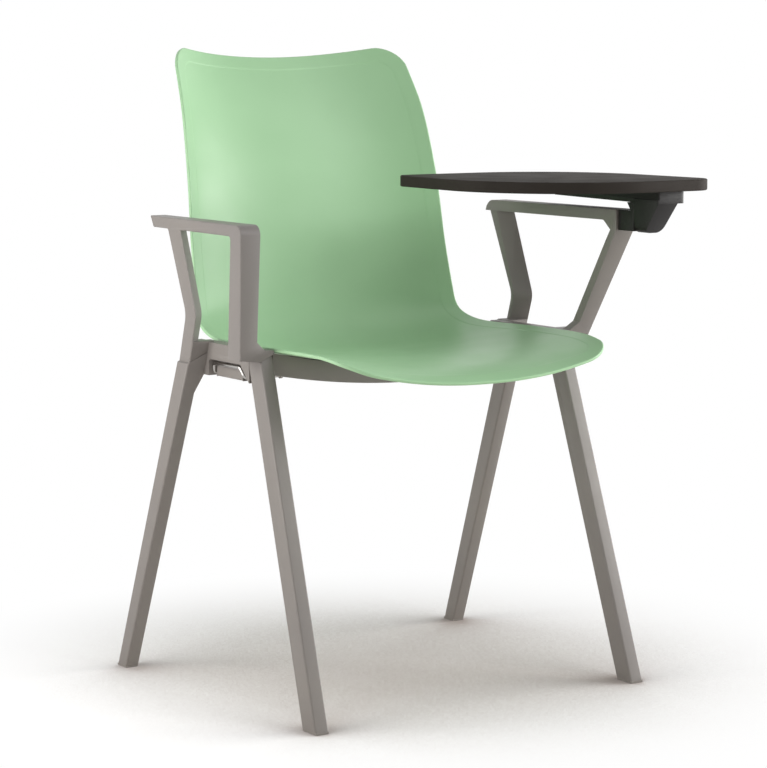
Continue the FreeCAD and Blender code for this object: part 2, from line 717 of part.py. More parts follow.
# Bolts and bores of one side, all on the sitter's left; the right side is mirrored.
beam_bolts = [
    bolt("beam_bolt_%s" % place, "beam_bolt", "%s + Sizes.beam_bolt_bite" % "Sizes.beam_end_wall",
         (face + " - Sizes.beam_end_wall", y_text, "Sizes.beam_bolt_tall"), "X")
    for (place, y_text, y), face in zip(beam_middles, ("Sizes.front_hip_in", "Sizes.rail_in"))
]
arm_bolts = [
    bolt("arm_bolt_%s" % place, "arm_bolt",
         "Sizes.rail_top - Sizes.rail_low - Sizes.arm_bolt_cap + Sizes.arm_bolt_bite",
         ("Sizes.rail_in + Sizes.arm_bolt_in", sign + "Sizes.arm_bolt_half",
          "Sizes.rail_low + Sizes.arm_bolt_cap"), "Z")
    for place, sign in (("front", "-"), ("rear", ""))
]
feet = (
    ("front", front_leg_front, front_leg_top, front_leg_back, front_leg_back_top,
     front_outer, front_outer_top, front_inner, front_inner_top),
    ("rear", rear_leg_front, rear_leg_top, rear_leg_back, rear_leg_back_top,
     rear_outer, rear_outer_hip, rear_inner,
     (rear_outer_hip[0] - size("leg_wide"), rear_outer_hip[1])),
)
glides = []
plug_bores = []
inset = size("glide_inset")
for place, front, front_up, back, back_up, outer, outer_up, inner, inner_up in feet:
    ahead = line_at(front, front_up, 0) + inset
    behind = line_at(back, back_up, 0) - inset
    left = line_at(outer, outer_up, 0) - inset
    right = line_at(inner, inner_up, 0) + inset
    pad = doc.addObject("Part::Box", "glide_pad_" + place)
    pad.Length = left - right
    pad.Width = behind - ahead
    pad.setExpression("Height", "Sizes.glide_tall")
    pad.Placement = Placement(Vector(right, ahead, 0), Rotation())
    rounded_pad = soften("Chamfer", "glide_pad_bevel_" + place, pad, size("glide_bevel"),
                         lambda edge: edge.BoundBox.ZMax < size("glide_tall") / 2)
    middle_x = (left + right) / 2
    middle_y = (ahead + behind) / 2
    plug = doc.addObject("Part::Cylinder", "glide_plug_" + place)
    plug.setExpression("Radius", "Sizes.glide_plug")
    plug.setExpression("Height", "Sizes.glide_tall / 2 + Sizes.glide_plug_long")
    lean = Rotation(Vector(0, 0, 1), Vector(outer_up[0] - outer[0],
                                            (front_up[0] - front[0]) * outer_up[1] / front_up[1],
                                            outer_up[1]))
    plug.Placement = Placement(Vector(middle_x, middle_y, foot / 2), lean)
    glides.append(fuse("glide_" + place, [rounded_pad, plug]))
    bore = doc.addObject("Part::Cylinder", "glide_bore_" + place)
    bore.setExpression("Radius", "Sizes.glide_plug + Sizes.running_gap")
    bore.setExpression("Height", "Sizes.glide_tall / 2 + Sizes.glide_plug_long + Sizes.seat_gap")
    bore.Placement = plug.Placement
    plug_bores.append(bore)

frame_solid = fuse("frame_solid", [front_leg, rail, rear_leg])
side_frame = cut("side_frame", frame_solid, [recess] + plug_bores + beam_bolts + arm_bolts)

# Arms: a side view crossed with a plan that tapers to the rear, standing on two feet
# that reach in to the leg tops, and a bar along the rail between them.
arm_front = -size("post_front_ahead")
arm_back = size("arm_tail")


def arm_outer(y):
    share = (y - arm_front) / (arm_back - arm_front)
    return size("arm_out") - size("arm_taper") * share


def arm_inner(y):
    share = (y - arm_front) / (arm_back - arm_front)
    return arm_outer(y) - size("arm_wide") + size("arm_narrow") * share


far_front = -size("front_foot_ahead")
far_back = size("rear_foot_behind")
foot_bar_top = size("rail_top") + size("foot_bar_thick")
rear_seam = size("rear_seam_out") - size("overrun") * 2
post_top = size("right_arm_top") - size("bar_thick")
kink_front = (size("kink_behind"), size("kink_tall"), size("kink_round"))
kink_back = (size("kink_behind") + size("kink_deep"), size("kink_tall"), size("kink_round"))
rear_foot_front = (line_at(rear_leg_front, rear_leg_top, rear_seam), rear_seam)
rear_foot_back = (line_at(rear_leg_back, rear_leg_back_top, rear_seam), rear_seam)
inner_round = size("arm_inner_corner")


def rear_post_at(tall):
    """Front and back of the rear post at a height above its kink."""
    slope = (size("post_top_behind") - size("kink_behind")) / (post_top - size("kink_tall"))
    front = size("kink_behind") + slope * (tall - size("kink_tall"))
    depth_slope = (size("post_top_deep") - size("kink_deep")) / (post_top - size("kink_tall"))
    return front, front + size("kink_deep") + depth_slope * (tall - size("kink_tall"))


right_view = [
    (-size("front_hip_ahead"), size("rail_top") - size("overrun")),
    (arm_front, size("right_arm_top"), size("arm_corner")),
    (arm_back, size("right_arm_top")),
    (arm_back - size("arm_tail_slope"), post_top),
    (rear_post_at(post_top)[1], post_top, inner_round),
    kink_back,
    rear_foot_back,
    rear_foot_front,
    kink_front,
    (rear_post_at(post_top)[0], post_top, inner_round),
    (arm_front + size("post_front_deep"), post_top, inner_round),
    (-size("front_hip_ahead") + size("post_foot_deep"), size("rail_top") - size("overrun")),
]
left_bar_low = size("left_arm_top") - size("bar_thick")
nose = -size("left_nose_ahead")
left_foot = (-size("front_hip_ahead"), size("rail_top"))
left_back_foot = (left_foot[0] + size("left_post_deep"), size("rail_top"))
left_back_top = (nose + size("left_post_top_deep"), size("left_nose_low"))
left_view = [
    (line_at(left_foot, (nose, size("left_nose_low")), size("rail_top") - size("overrun")),
     size("rail_top") - size("overrun")),
    (nose, size("left_nose_low")),
    (nose, size("left_arm_top")),
    (rear_post_at(size("left_arm_top"))[1], size("left_arm_top"), size("left_corner")),
    kink_back,
    rear_foot_back,
    rear_foot_front,
    kink_front,
    (rear_post_at(left_bar_low)[0], left_bar_low, inner_round),
    (left_back_top[0] + size("left_gusset"), left_bar_low, inner_round),
    left_back_top,
    (line_at(left_back_foot, left_back_top, foot_bar_top), foot_bar_top, inner_round),
    (-size("front_hip_ahead") + size("post_foot_deep"), foot_bar_top),
    (-size("front_hip_ahead") + size("post_foot_deep"), size("rail_top") - size("overrun")),
]


def rear_post_line(face, tall):
    """Front or back (face 0 or 1) of the rear post at a height on either side of its kink."""
    if tall >= size("kink_tall"):
        return rear_post_at(tall)[face]
    foot_end = (rear_foot_front, rear_foot_back)[face]
    return line_at(foot_end, (kink_front, kink_back)[face][:2], tall)


def band(face, high, start, finish):
    """Side outline that follows one face of the rear post, from start to finish behind it."""
    low = foot_bar_top + size("small_step")
    kink = (kink_front, kink_back)[face]
    return [
        (rear_post_line(face, low) + start, low),
        (rear_post_line(face, low) + finish, low),
        (kink[0] + finish, kink[1], kink[2]),
        (rear_post_line(face, high) + finish, high),
        (rear_post_line(face, high) + start, high),
        (kink[0] + start, kink[1], kink[2]),
    ]


def slanted(name, face, high, slope, start):
    """A cutter for a post face that runs back (or forward) towards the inner side."""
    sketches = []
    middle = arm_outer(size("kink_behind"))
    for index, side_x in enumerate((size("arm_out"), size("post_inner") - size("overrun"))):
        ends = sorted((start, slope * (middle - side_x)))
        sketches.append(outline("%s_%d" % (name, index), "side",
                                rounded_edges(band(face, high, *ends)), side_x))
    loft = doc.addObject("Part::Loft", name)
    loft.Sections = sketches
    loft.Solid = True
    loft.Ruled = True
    return loft


def post_cutters(side, bar_low, top):
    """Everything that shapes the rear post besides its side view."""
    far = size("post_top_deep")
    front = slanted(side + "_post_front", 0, bar_low, size("post_slant"), -far)
    rear = slanted(side + "_post_rear", 1, top, -size("post_rear_slant"), far)
    low = foot_bar_top + size("small_step")
    inner = prism(side + "_post_inner", "side", [
        (rear_post_line(0, low) - far, low),
        (rear_post_line(1, low) + far, low),
        (rear_post_line(1, bar_low) + far, bar_low),
        (rear_post_line(0, bar_low) - far, bar_low),
    ], "Sizes.rail_in", "Sizes.post_inner")
    return [front, rear, inner]


def build_arm(side, view, bar_low):
    """One arm on the sitter's left, from its side view."""
    hip = size("rail_top")
    bar_front = nose - size("overrun")
    side_prism = prism(side + "_side_view", "side", view, *SIDE_REACH)
    plan_prism = prism(side + "_plan", "plan", [
        (arm_inner(bar_front), bar_front), (arm_outer(bar_front), bar_front),
        (arm_outer(far_back), far_back), (arm_inner(far_back), far_back),
    ], "Sizes.rail_top + Sizes.foot_bar_thick", "Sizes.tablet_top_tall")
    foot_plan = prism(side + "_foot_plan", "plan", [
        (size("rail_in") - size("overrun") * 2, far_front), (arm_outer(far_front), far_front),
        (arm_outer(far_back), far_back), (size("rail_in") - size("overrun") * 2, far_back),
    ], "Sizes.rail_low", "Sizes.tablet_top_tall")
    wide_out = size("rear_foot_out")
    post_in = size("arm_out") - size("post_wide")
    lean = prism(side + "_lean", "front", [
        (size("rail_in"), foot_bar_top), (post_in, foot_bar_top),
        (size("arm_out") - size("arm_wide"), bar_low), (size("rail_in"), bar_low),
    ], *FRONT_HALF)
    hoop = cut(side + "_hoop", common(side + "_hoop_full", [side_prism, plan_prism]), [lean])
    rise = size("flange_rise")
    shoulder = foot_bar_top + rise
    front_foot = prism(side + "_front_foot_view", "front", [
        (size("front_foot_out") + size("leg_wide") * 2, size("front_seam_out")),
        (size("arm_out"), size("front_seam_out")),
        front_outer_top,
        front_inner_top,
        (size("front_hip_in"), foot_bar_top),
        (post_in - rise, foot_bar_top, rise / 2),
        (post_in, shoulder),
        (post_in, shoulder + rise),
        (size("front_foot_out") + size("leg_wide") * 2, shoulder + rise),
    ], "0", "Sizes.post_front_ahead + Sizes.overrun * 3")
    rear_foot = prism(side + "_rear_foot_view", "front", [
        (wide_out, size("rear_seam_out")),
        rear_outer_hip,
        (size("rail_out"), hip),
        (size("rail_in"), hip),
        (size("rail_in"), foot_bar_top),
        (post_in - rise, foot_bar_top, rise / 2),
        (post_in, shoulder),
        (post_in, shoulder + rise),
        (wide_out, shoulder + rise),
    ], REAR_HALF[0], "0")
    feet_solid = common(side + "_feet", [
        fuse(side + "_feet_views", [front_foot, rear_foot]), side_prism, foot_plan])
    bar = box(side + "_foot_bar", (
        "Sizes.rail_in", "Sizes.rail_out",
        "-Sizes.front_hip_ahead + Sizes.overrun", "Sizes.rear_hip_behind",
        "Sizes.rail_top", "Sizes.rail_top + Sizes.foot_bar_thick"))
    solid = fuse(side + "_solid", [hoop, feet_solid, bar])
    return cut(side + "_seated", solid, [front_leg_sharp, rear_leg_sharp])


arm_solids = {
    "left": build_arm("left_arm", left_view, left_bar_low),
    "right": build_arm("right_arm", right_view, post_top),
}
doc.recompute()


def hoop_edge(edge):
    """Edges of an arm's hoop that follow its side view on the outer side."""
    bounds = edge.BoundBox
    return (bounds.ZMax > size("kink_tall")
            and bounds.XMin > size("arm_out") - size("arm_wide") / 2
            and bounds.YLength + bounds.ZLength > bounds.XLength
            and edge.Length > size("arm_bevel"))


bevelled = {
    key: soften("Chamfer", key + "_arm_bevel", arm, size("arm_bevel"), hoop_edge)
    for key, arm in arm_solids.items()
}
arms = {
    "left": cut("left_arm_shaped", bevelled["left"], post_cutters(
        "left_arm", left_bar_low, size("left_arm_top") + size("overrun"))),
    "right": cut("right_arm_shaped", bevelled["right"], post_cutters(
        "right_arm", post_top, post_top)),
}

# Cross beams under the shell. A beam's top follows the shell, its underside is bowed and
# each end has a pocket for the bolt that draws the beam against the side frame.
BEAM_shares = (-1, -0.8, -0.45, 0, 0.45, 0.8, 1)


def build_beam(place, y):
    inner_low = size("rail_in")
    inner_high = size("rail_in")
    high = beam_top(size("front_hip_in"), y)
    if place == "front":
        inner_low = line_at(front_inner, front_inner_top, size("beam_end_low"))
        inner_high = line_at(front_inner, front_inner_top, high)
    low_left = Vector(inner_low, size("beam_end_low"), 0)
    low_right = Vector(-inner_low, size("beam_end_low"), 0)
    top_left = Vector(inner_high, high, 0)
    top_right = Vector(-inner_high, high, 0)
    middle = Vector(0, size("beam_end_low") - size("beam_sag"), 0)
    top = Part.BSplineCurve()
    top.interpolate([
        Vector(share * inner_high, beam_top(share * inner_high, y) if abs(share) < 1 else high, 0)
        for share in BEAM_shares
    ])
    return extruded(place + "_beam_bar", "front", [
        Part.Arc(low_right, middle, low_left),
        Part.LineSegment(low_left, top_left),
        top,
        Part.LineSegment(top_right, low_right),
    ], str(-y - size("beam_deep") / 2), str(-y + size("beam_deep") / 2))


beam_nodes = {}
for (place, y_text, y), own_bolt, screw, well in zip(
    beam_middles, beam_bolts, seat_screws, seat_screw_wells
):
    bar = build_beam(place, y)
    pocket = box(place + "_pocket", (
        "Sizes.%s - Sizes.beam_end_wall - Sizes.pocket_long"
        % ("front_hip_in" if place == "front" else "rail_in"),
        "Sizes.%s - Sizes.beam_end_wall" % ("front_hip_in" if place == "front" else "rail_in"),
        y_text + " - Sizes.pocket_wide / 2", y_text + " + Sizes.pocket_wide / 2",
        "Sizes.beam_end_low - Sizes.beam_sag", "Sizes.pocket_top"))
    tools = list(beam_bosses[place])
    for tool in (pocket, own_bolt, screw, well):
        tools.append(tool)
        tools.append(mirror("%s_beam_%s_other" % (place, tool.Name), tool))
    beam_nodes[place] = cut(place + "_beam", bar, tools)


# Link hook: a bent wire with two legs that slide through the rail of the right frame.
def wire_run(name, start, end):
    """A straight run of the wire."""
    run = doc.addObject("Part::Cylinder", name)
    run.setExpression("Radius", "Sizes.wire_thin")
    run.Height = (end - start).Length
    run.Placement = Placement(start, Rotation(Vector(0, 0, 1), end - start))
    return run


def wire_turn(name, centre, start, end):
    """A bend of the wire about its centre."""
    from_middle = (start - centre).normalize()
    axis = from_middle.cross(end - centre).normalize()
    turn = doc.addObject("Part::Torus", name)
    turn.setExpression("Radius1", "Sizes.hook_bend")
    turn.setExpression("Radius2", "Sizes.wire_thin")
    turn.Angle3 = math.degrees(from_middle.getAngle(end - centre))
    turn.Placement = Placement(centre, Rotation(from_middle, axis.cross(from_middle), axis))
    return turn


def bent_wire(name, points, bend):
    """Straight runs of wire joined by tangent bends of one radius."""
    pieces = []
    start = points[0]
    for index, (before, here, after) in enumerate(zip(points, points[1:], points[2:])):
        back = (before - here).normalize()
        onward = (after - here).normalize()
        half = back.getAngle(onward) / 2
        tangent = bend / math.tan(half)
        centre = here + (back + onward).normalize() * (bend / math.sin(half))
        first = here + back * tangent
        last = here + onward * tangent
        pieces.append(wire_run("%s_run_%d" % (name, index), start, first))
        pieces.append(wire_turn("%s_turn_%d" % (name, index), centre, first, last))
        start = last
    pieces.append(wire_run("%s_run_last" % name, start, points[-1]))
    return pieces


wire_side = size("rail_out") - size("hook_set_in") - size("wire_thin")
turn_side = wire_side - size("hook_leg_turn")
leg_end = size("rail_out") - size("hook_leg_long")
leg_tall = size("rail_low") + size("hook_legs_up")
hook_points = [
    Vector(leg_end, size("hook_leg_half"), leg_tall),
    Vector(turn_side, size("hook_leg_half"), leg_tall),
    Vector(wire_side, size("hook_bar_half"), leg_tall + size("hook_rise")),
    Vector(wire_side, -size("hook_bar_half"), leg_tall + size("hook_rise")),
    Vector(turn_side, -size("hook_leg_half"), leg_tall),
    Vector(leg_end, -size("hook_leg_half"), leg_tall),
]
hook_pieces = bent_wire("hook_wire", hook_points, size("hook_bend"))
hook_stops = []
hook_bores = []
for side, sign in (("front", "-"), ("rear", "")):
    stop_place = ("Sizes.rail_out - Sizes.hook_leg_long", sign + "Sizes.hook_leg_half",
                  "Sizes.rail_low + Sizes.hook_legs_up")
    hook_stops.append(rod("hook_stop_" + side, "Sizes.hook_stop_wide", "Sizes.hook_stop_long",
                          stop_place, "X"))
    hook_bores.append(rod("hook_bore_" + side, "Sizes.wire_thin + Sizes.running_gap",
                          "Sizes.hook_leg_long", stop_place, "X"))
link_hook = fuse("link_hook_left", hook_pieces + hook_stops)
hooked_frame = cut("hooked_frame", side_frame, hook_bores)

# Writing tablet, its carrier and the hinge at the front end of the left arm.
tablet_low = size("tablet_top_tall") - size("tablet_thick")
tablet_back = size("tablet_deep") - size("tablet_ahead")
# Corners as shares of the tablet's width and depth, from its inner rear corner.
TABLET_shares = ((0.04, 0), (0.973, 0), (1.012, 0.99), (-0.018, 1.016))
tablet_rounds = (size("tablet_back_in_round"), size("tablet_back_out_round"),
                 size("tablet_front_out_round"), size("tablet_front_in_round"))
tablet_board = prism("tablet_board", "plan", [
    (size("tablet_in") + across * size("tablet_wide"), tablet_back - down * size("tablet_deep"), r)
    for (across, down), r in zip(TABLET_shares, tablet_rounds)
], "Sizes.tablet_top_tall - Sizes.tablet_thick", "Sizes.tablet_top_tall")
tablet_round = soften("Chamfer", "tablet_round", tablet_board, size("tablet_bevel"),
                      lambda edge: edge.BoundBox.ZLength < size("tablet_bevel"))

carrier_front = -size("carrier_front_ahead")
carrier_back = carrier_front + size("carrier_long")
carrier_low = tablet_low - size("carrier_thick")
boot_back = -size("boot_back_ahead")
bracket_front = -size("bracket_ahead")
SIDE_TABLET = ("Sizes.rail_in", "Sizes.rear_foot_out + Sizes.carrier_wide")
carrier_side = prism("carrier_side_view", "side", [
    (carrier_front, tablet_low),
    (carrier_front, carrier_low),
    (bracket_front, carrier_low),
    (carrier_back - size("carrier_tail_slope"), tablet_low - size("carrier_tail_thick")),
    (carrier_back, tablet_low - size("carrier_tail_tip")),
    (carrier_back, tablet_low),
], *SIDE_TABLET)
tail_in = (size("carrier_wide") - size("carrier_tail_wide")) / 2
carrier_plan = prism("carrier_plan", "plan", [
    (size("carrier_in"), carrier_front, size("small_step")),
    (size("carrier_in") + size("carrier_wide"), carrier_front, size("bracket_lip")),
    (size("carrier_in") + size("carrier_wide") - tail_in, carrier_back, size("bracket_lip")),
    (size("carrier_in") + tail_in, carrier_back, size("bracket_lip")),
], "Sizes.hinge_tall", "Sizes.tablet_top_tall")
carrier_plate = common("carrier_plate", [carrier_side, carrier_plan])
boot_low = size("hinge_tall") - size("boot_deep")
boot_half = size("boot_wide") / 2
boot_foot = size("boot_narrow") / 2
boot = common("boot", [
    prism("boot_side_view", "side", [
        (boot_back, carrier_low + size("overrun")),
        (carrier_front, carrier_low + size("overrun")),
        (carrier_front, carrier_low),
        (carrier_front + size("boot_toe"), boot_low),
        (boot_back, boot_low),
    ], *SIDE_TABLET),
    prism("boot_front_view", "front", [
        (size("hinge_side") - boot_half, carrier_low + size("overrun")),
        (size("hinge_side") - boot_foot, boot_low, size("boot_round")),
        (size("hinge_side") + boot_foot, boot_low, size("boot_round")),
        (size("hinge_side") + boot_half, carrier_low + size("overrun")),
    ], "0", "Sizes.carrier_front_ahead + Sizes.overrun"),
])
pin = rod("hinge_pin", "Sizes.pin_thin", "Sizes.pin_front_ahead - Sizes.pin_back_ahead",
          ("Sizes.hinge_side", "-Sizes.pin_front_ahead", "Sizes.hinge_tall"), "Y")
TABLET_SCREW_COUNT = 3
tablet_screws = []
screw_wells = []
for index in range(TABLET_SCREW_COUNT):
    y_place = ("-Sizes.carrier_front_ahead + Sizes.tablet_screw_start"
               " + Sizes.tablet_screw_pitch * %d" % index)
    head_place = ("Sizes.carrier_in + Sizes.tablet_screw_side", y_place,
                  "Sizes.tablet_top_tall - Sizes.tablet_thick - Sizes.tablet_screw_grip")
    tablet_screws.append(bolt("tablet_screw_%d" % (index + 1), "tablet_screw",
                              "Sizes.tablet_screw_grip + Sizes.tablet_screw_bite",
                              head_place, "Z"))
    screw_wells.append(rod("tablet_screw_well_%d" % (index + 1),
                           "Sizes.tablet_screw_head + Sizes.seat_gap",
                           "Sizes.carrier_thick", head_place, "-Z"))
nodes["tablet_top"] = cut("tablet_top", tablet_round, tablet_screws)
nodes["tablet_carrier"] = cut("tablet_carrier", fuse("carrier_solid", [carrier_plate, boot]),
                              [pin] + tablet_screws + screw_wells)

stop_top = carrier_low - size("seat_gap")
sleeve_front = nose - size("bracket_sleeve")
bracket_block = prism("bracket_block", "side", [
    (nose, size("left_nose_low")),
    (nose, size("left_arm_top")),
    (sleeve_front, size("left_arm_top")),
    (sleeve_front + size("bracket_lip"), stop_top),
    (bracket_front, stop_top),
    (bracket_front, size("left_nose_low")),
], "Sizes.carrier_in", "Sizes.hinge_side")
bracket_sleeve = prism("bracket_sleeve", "side", [
    (nose, size("left_nose_low")),
    (nose, size("left_arm_top")),
    (bracket_front, size("left_arm_top")),
    (bracket_front, size("left_nose_low")),
], "Sizes.carrier_in", "Sizes.hinge_side + Sizes.small_step * 4")
bracket_barrel = rod("bracket_barrel", "Sizes.bracket_barrel",
                     "Sizes.bracket_ahead - Sizes.left_nose_ahead - Sizes.bracket_sleeve",
                     ("Sizes.hinge_side", "-Sizes.bracket_ahead", "Sizes.hinge_tall"), "Y")
pin_bore = rod("pin_bore", "Sizes.pin_thin + Sizes.running_gap",
               "Sizes.bracket_ahead - Sizes.pin_back_ahead + Sizes.seat_gap",
               ("Sizes.hinge_side", "-Sizes.bracket_ahead", "Sizes.hinge_tall"), "Y")
bracket_bolts = []
for level, sign in (("lower", "-"), ("upper", "+")):
    head_place = ("Sizes.carrier_in + Sizes.bracket_bolt_in",
                  "-Sizes.bracket_ahead + Sizes.bracket_bolt_cap",
                  "Sizes.hinge_tall %s Sizes.bracket_bolt_half" % sign)
    bracket_bolts.append(bolt("bracket_bolt_" + level, "bracket_bolt",
                              "Sizes.bracket_ahead - Sizes.bracket_bolt_cap"
                              " - Sizes.left_nose_ahead + Sizes.bracket_bolt_bite",
                              head_place, "Y"))
nodes["hinge_bracket"] = cut("hinge_bracket",
                             fuse("bracket_solid", [bracket_block, bracket_sleeve, bracket_barrel]),
                             [pin_bore] + bracket_bolts)
nodes["hinge_pin"] = pin
for level, item in zip(("lower", "upper"), bracket_bolts):
    nodes["bracket_bolt_" + level] = item
for index, item in enumerate(tablet_screws, start=1):
    nodes["tablet_screw_%d" % index] = item

# Both sides of the chair.
arm_cuts = {"left": arm_bolts + bracket_bolts, "right": arm_bolts}
bored_arms = {
    side: cut(side + "_arm_bored", arms[side], arm_cuts[side]) for side in ("left", "right")
}
nodes["arm_left"] = bored_arms["left"]
nodes["arm_right"] = mirror("arm_right", bored_arms["right"])
nodes["side_frame_left"] = side_frame
nodes["side_frame_right"] = mirror("side_frame_right", hooked_frame)
nodes["link_hook"] = mirror("link_hook", link_hook)
nodes["front_beam"] = beam_nodes["front"]
nodes["rear_beam"] = beam_nodes["rear"]
for name, pair in (("glide", glides), ("beam_bolt", beam_bolts), ("arm_bolt", arm_bolts),
                   ("seat_screw", seat_screws)):
    for place, item in zip(("front", "rear"), pair):
        nodes["%s_%s_left" % (name, place)] = item
        right = "%s_%s_right" % (name, place)
        nodes[right] = mirror(right, item)

doc.recompute()
failed = [item.Name for item in doc.Objects if {"Invalid", "Error"} & set(item.State)]
if failed:
    raise RuntimeError("failed objects: " + ", ".join(failed))

# The origin is the middle of the whole chair's box, on the floor.
whole = FreeCAD.BoundBox()
for item in nodes.values():
    whole.add(item.Shape.optimalBoundingBox(False, False))
shift = Vector(-whole.Center.x, -whole.Center.y, 0)
print("box", whole, "shift", shift)
for name, item in nodes.items():
    item.Label = name + "_built"
    shape = item.Shape.copy()
    if shape.isNull() or not shape.isValid() or len(shape.Solids) != 1:
        raise RuntimeError("bad sub-part: %s %s" % (name, len(shape.Solids)))
    seated = doc.addObject("Part::Feature", name + "_placed")
    seated.Label = name
    seated.Shape = shape.Solids[0]
    seated.Placement = Placement(shift, Rotation()) * seated.Placement
    seated.Shape.exportStep("parts/%s.step" % name)
print(len(nodes), "nodes")
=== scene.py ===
# %% [markdown]
# # A stacking chair with a folding writing tablet
# The chair has one moulded green shell, two warm-grey side frames with arms, a dark
# writing tablet on a hinge, and a chromed link hook. The rigid pieces come from the
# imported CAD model, which is the frame that every piece here is set around.
# This first cell loads it.

# %% Load the frame
import json
import math

import bmesh
import bpy
import numpy as np
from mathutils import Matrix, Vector

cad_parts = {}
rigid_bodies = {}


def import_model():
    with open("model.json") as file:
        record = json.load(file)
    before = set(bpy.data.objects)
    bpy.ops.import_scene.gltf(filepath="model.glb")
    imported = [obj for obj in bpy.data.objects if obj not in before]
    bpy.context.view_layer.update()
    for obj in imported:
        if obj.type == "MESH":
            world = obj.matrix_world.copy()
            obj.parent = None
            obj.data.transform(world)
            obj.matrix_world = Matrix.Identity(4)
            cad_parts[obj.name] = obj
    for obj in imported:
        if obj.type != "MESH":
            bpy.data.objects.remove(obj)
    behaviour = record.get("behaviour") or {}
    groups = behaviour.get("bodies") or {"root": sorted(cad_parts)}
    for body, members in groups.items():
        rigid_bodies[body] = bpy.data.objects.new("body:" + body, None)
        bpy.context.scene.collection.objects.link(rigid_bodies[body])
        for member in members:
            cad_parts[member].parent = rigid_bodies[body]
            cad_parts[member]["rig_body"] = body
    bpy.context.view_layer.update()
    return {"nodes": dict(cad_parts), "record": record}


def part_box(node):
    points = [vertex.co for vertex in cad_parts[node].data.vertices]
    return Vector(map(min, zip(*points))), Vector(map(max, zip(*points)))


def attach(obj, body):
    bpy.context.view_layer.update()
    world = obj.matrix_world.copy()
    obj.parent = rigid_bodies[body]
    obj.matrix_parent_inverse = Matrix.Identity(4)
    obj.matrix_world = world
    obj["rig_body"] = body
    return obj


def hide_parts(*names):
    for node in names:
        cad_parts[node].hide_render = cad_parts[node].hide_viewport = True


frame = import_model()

# %% [markdown]
# ## Where things are
# The part's own drawing has its origin in the middle between the side frames. The frame
# was shifted so that the whole chair is centred. The front cross beam lies at a known
# place in the drawing, so its box gives the shift back.

# %% The drawing's origin
BEAM_MIDDLE_AHEAD = 0.0725
beam_low, beam_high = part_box("front_beam")
ORIGIN = Vector((
    (beam_low.x + beam_high.x) / 2,
    (beam_low.y + beam_high.y) / 2 + BEAM_MIDDLE_AHEAD,
    0.0,
))
print("origin of the drawing:", tuple(round(value, 5) for value in ORIGIN))


def from_drawing(x, y, z):
    """A place in the chair's drawing, in metres, as a place in the frame."""
    return ORIGIN + Vector((x, y, z))


# %% [markdown]
# ## The camera
# The photograph is taken from the sitter's front right, a little above the arms, with a
# long lens: the legs hardly converge. A long lens far away gives the same even look.

# %% Camera
VIEW_TURN = -33.3579
VIEW_DIP = 7.1776
PHOTO_HEIGHT = 768
FOCAL_PIXELS = 2653.11
SENSOR = 36.0
EYE = from_drawing(-1.9653, -2.9846, 0.8497)

camera_data = bpy.data.cameras.new("camera")
camera_data.sensor_width = SENSOR
camera_data.lens = FOCAL_PIXELS * SENSOR / PHOTO_HEIGHT
camera = bpy.data.objects.new("camera", camera_data)
camera.location = EYE
camera.rotation_euler = (math.radians(90 - VIEW_DIP), 0, math.radians(VIEW_TURN))
bpy.context.scene.collection.objects.link(camera)
bpy.context.scene.camera = camera
print("lens in mm:", round(camera_data.lens, 2))

# %% [markdown]
# ## Finishes
# Moulded plastic is never one flat colour: it has a fine spark-eroded grain, slow changes
# of tone where the melt cooled, and a gloss that varies a little. A helper builds those
# three layers on Object coordinates, so that the pattern is the same size everywhere.

# %% Helpers for materials
def linear(code):
    """A colour written as six hex digits, as Blender's linear values."""
    channels = [int(code[index:index + 2], 16) / 255 for index in (0, 2, 4)]
    return tuple(
        value / 12.92 if value <= 0.04045 else ((value + 0.055) / 1.055) ** 2.4
        for value in channels
    ) + (1.0,)


class Finish:
    """A material being built: a principled shader and the nodes that feed it."""

    def __init__(self, name):
        self.material = bpy.data.materials.new(name)
        self.material.use_nodes = True
        self.nodes = self.material.node_tree.nodes
        self.links = self.material.node_tree.links
        self.shader = self.nodes["Principled BSDF"]
        self.where = self.add("ShaderNodeTexCoord").outputs["Object"]

    def add(self, kind, **settings):
        node = self.nodes.new(kind)
        for name, value in settings.items():
            setattr(node, name, value)
        return node

    def noise(self, scale, detail=2.0, stretch=None):
        """Cloudy values around a half, scale cells to the metre."""
        node = self.add("ShaderNodeTexNoise")
        node.inputs["Scale"].default_value = scale
        node.inputs["Detail"].default_value = detail
        source = self.where
        if stretch:
            mapping = self.add("ShaderNodeMapping")
            mapping.inputs["Scale"].default_value = stretch
            self.links.new(source, mapping.inputs["Vector"])
            source = mapping.outputs["Vector"]
        self.links.new(source, node.inputs["Vector"])
        return node.outputs["Fac"]

    def spread(self, value, low, high):
        """Stretch a value from the middle of the noise's range to low ... high."""
        node = self.add("ShaderNodeMapRange")
        node.inputs["From Min"].default_value = 0.3
        node.inputs["From Max"].default_value = 0.7
        node.inputs["To Min"].default_value = low
        node.inputs["To Max"].default_value = high
        self.links.new(value, node.inputs["Value"])
        return node.outputs["Result"]

    def mix(self, factor, first, second):
        node = self.add("ShaderNodeMix", data_type="RGBA")
        self.links.new(factor, node.inputs["Factor"])
        for socket, colour in (("A", first), ("B", second)):
            target = [item for item in node.inputs
                      if item.name == socket and item.type == "RGBA"][0]
            if isinstance(colour, tuple):
                target.default_value = colour
            else:
                self.links.new(colour, target)
        return [item for item in node.outputs if item.type == "RGBA"][0]

    def feed(self, socket, value):
        self.links.new(value, self.shader.inputs[socket])

    def bump(self, height, strength, distance):
        node = self.add("ShaderNodeBump")
        node.inputs["Strength"].default_value = strength
        node.inputs["Distance"].default_value = distance
        self.links.new(height, node.inputs["Height"])
        self.feed("Normal", node.outputs["Normal"])


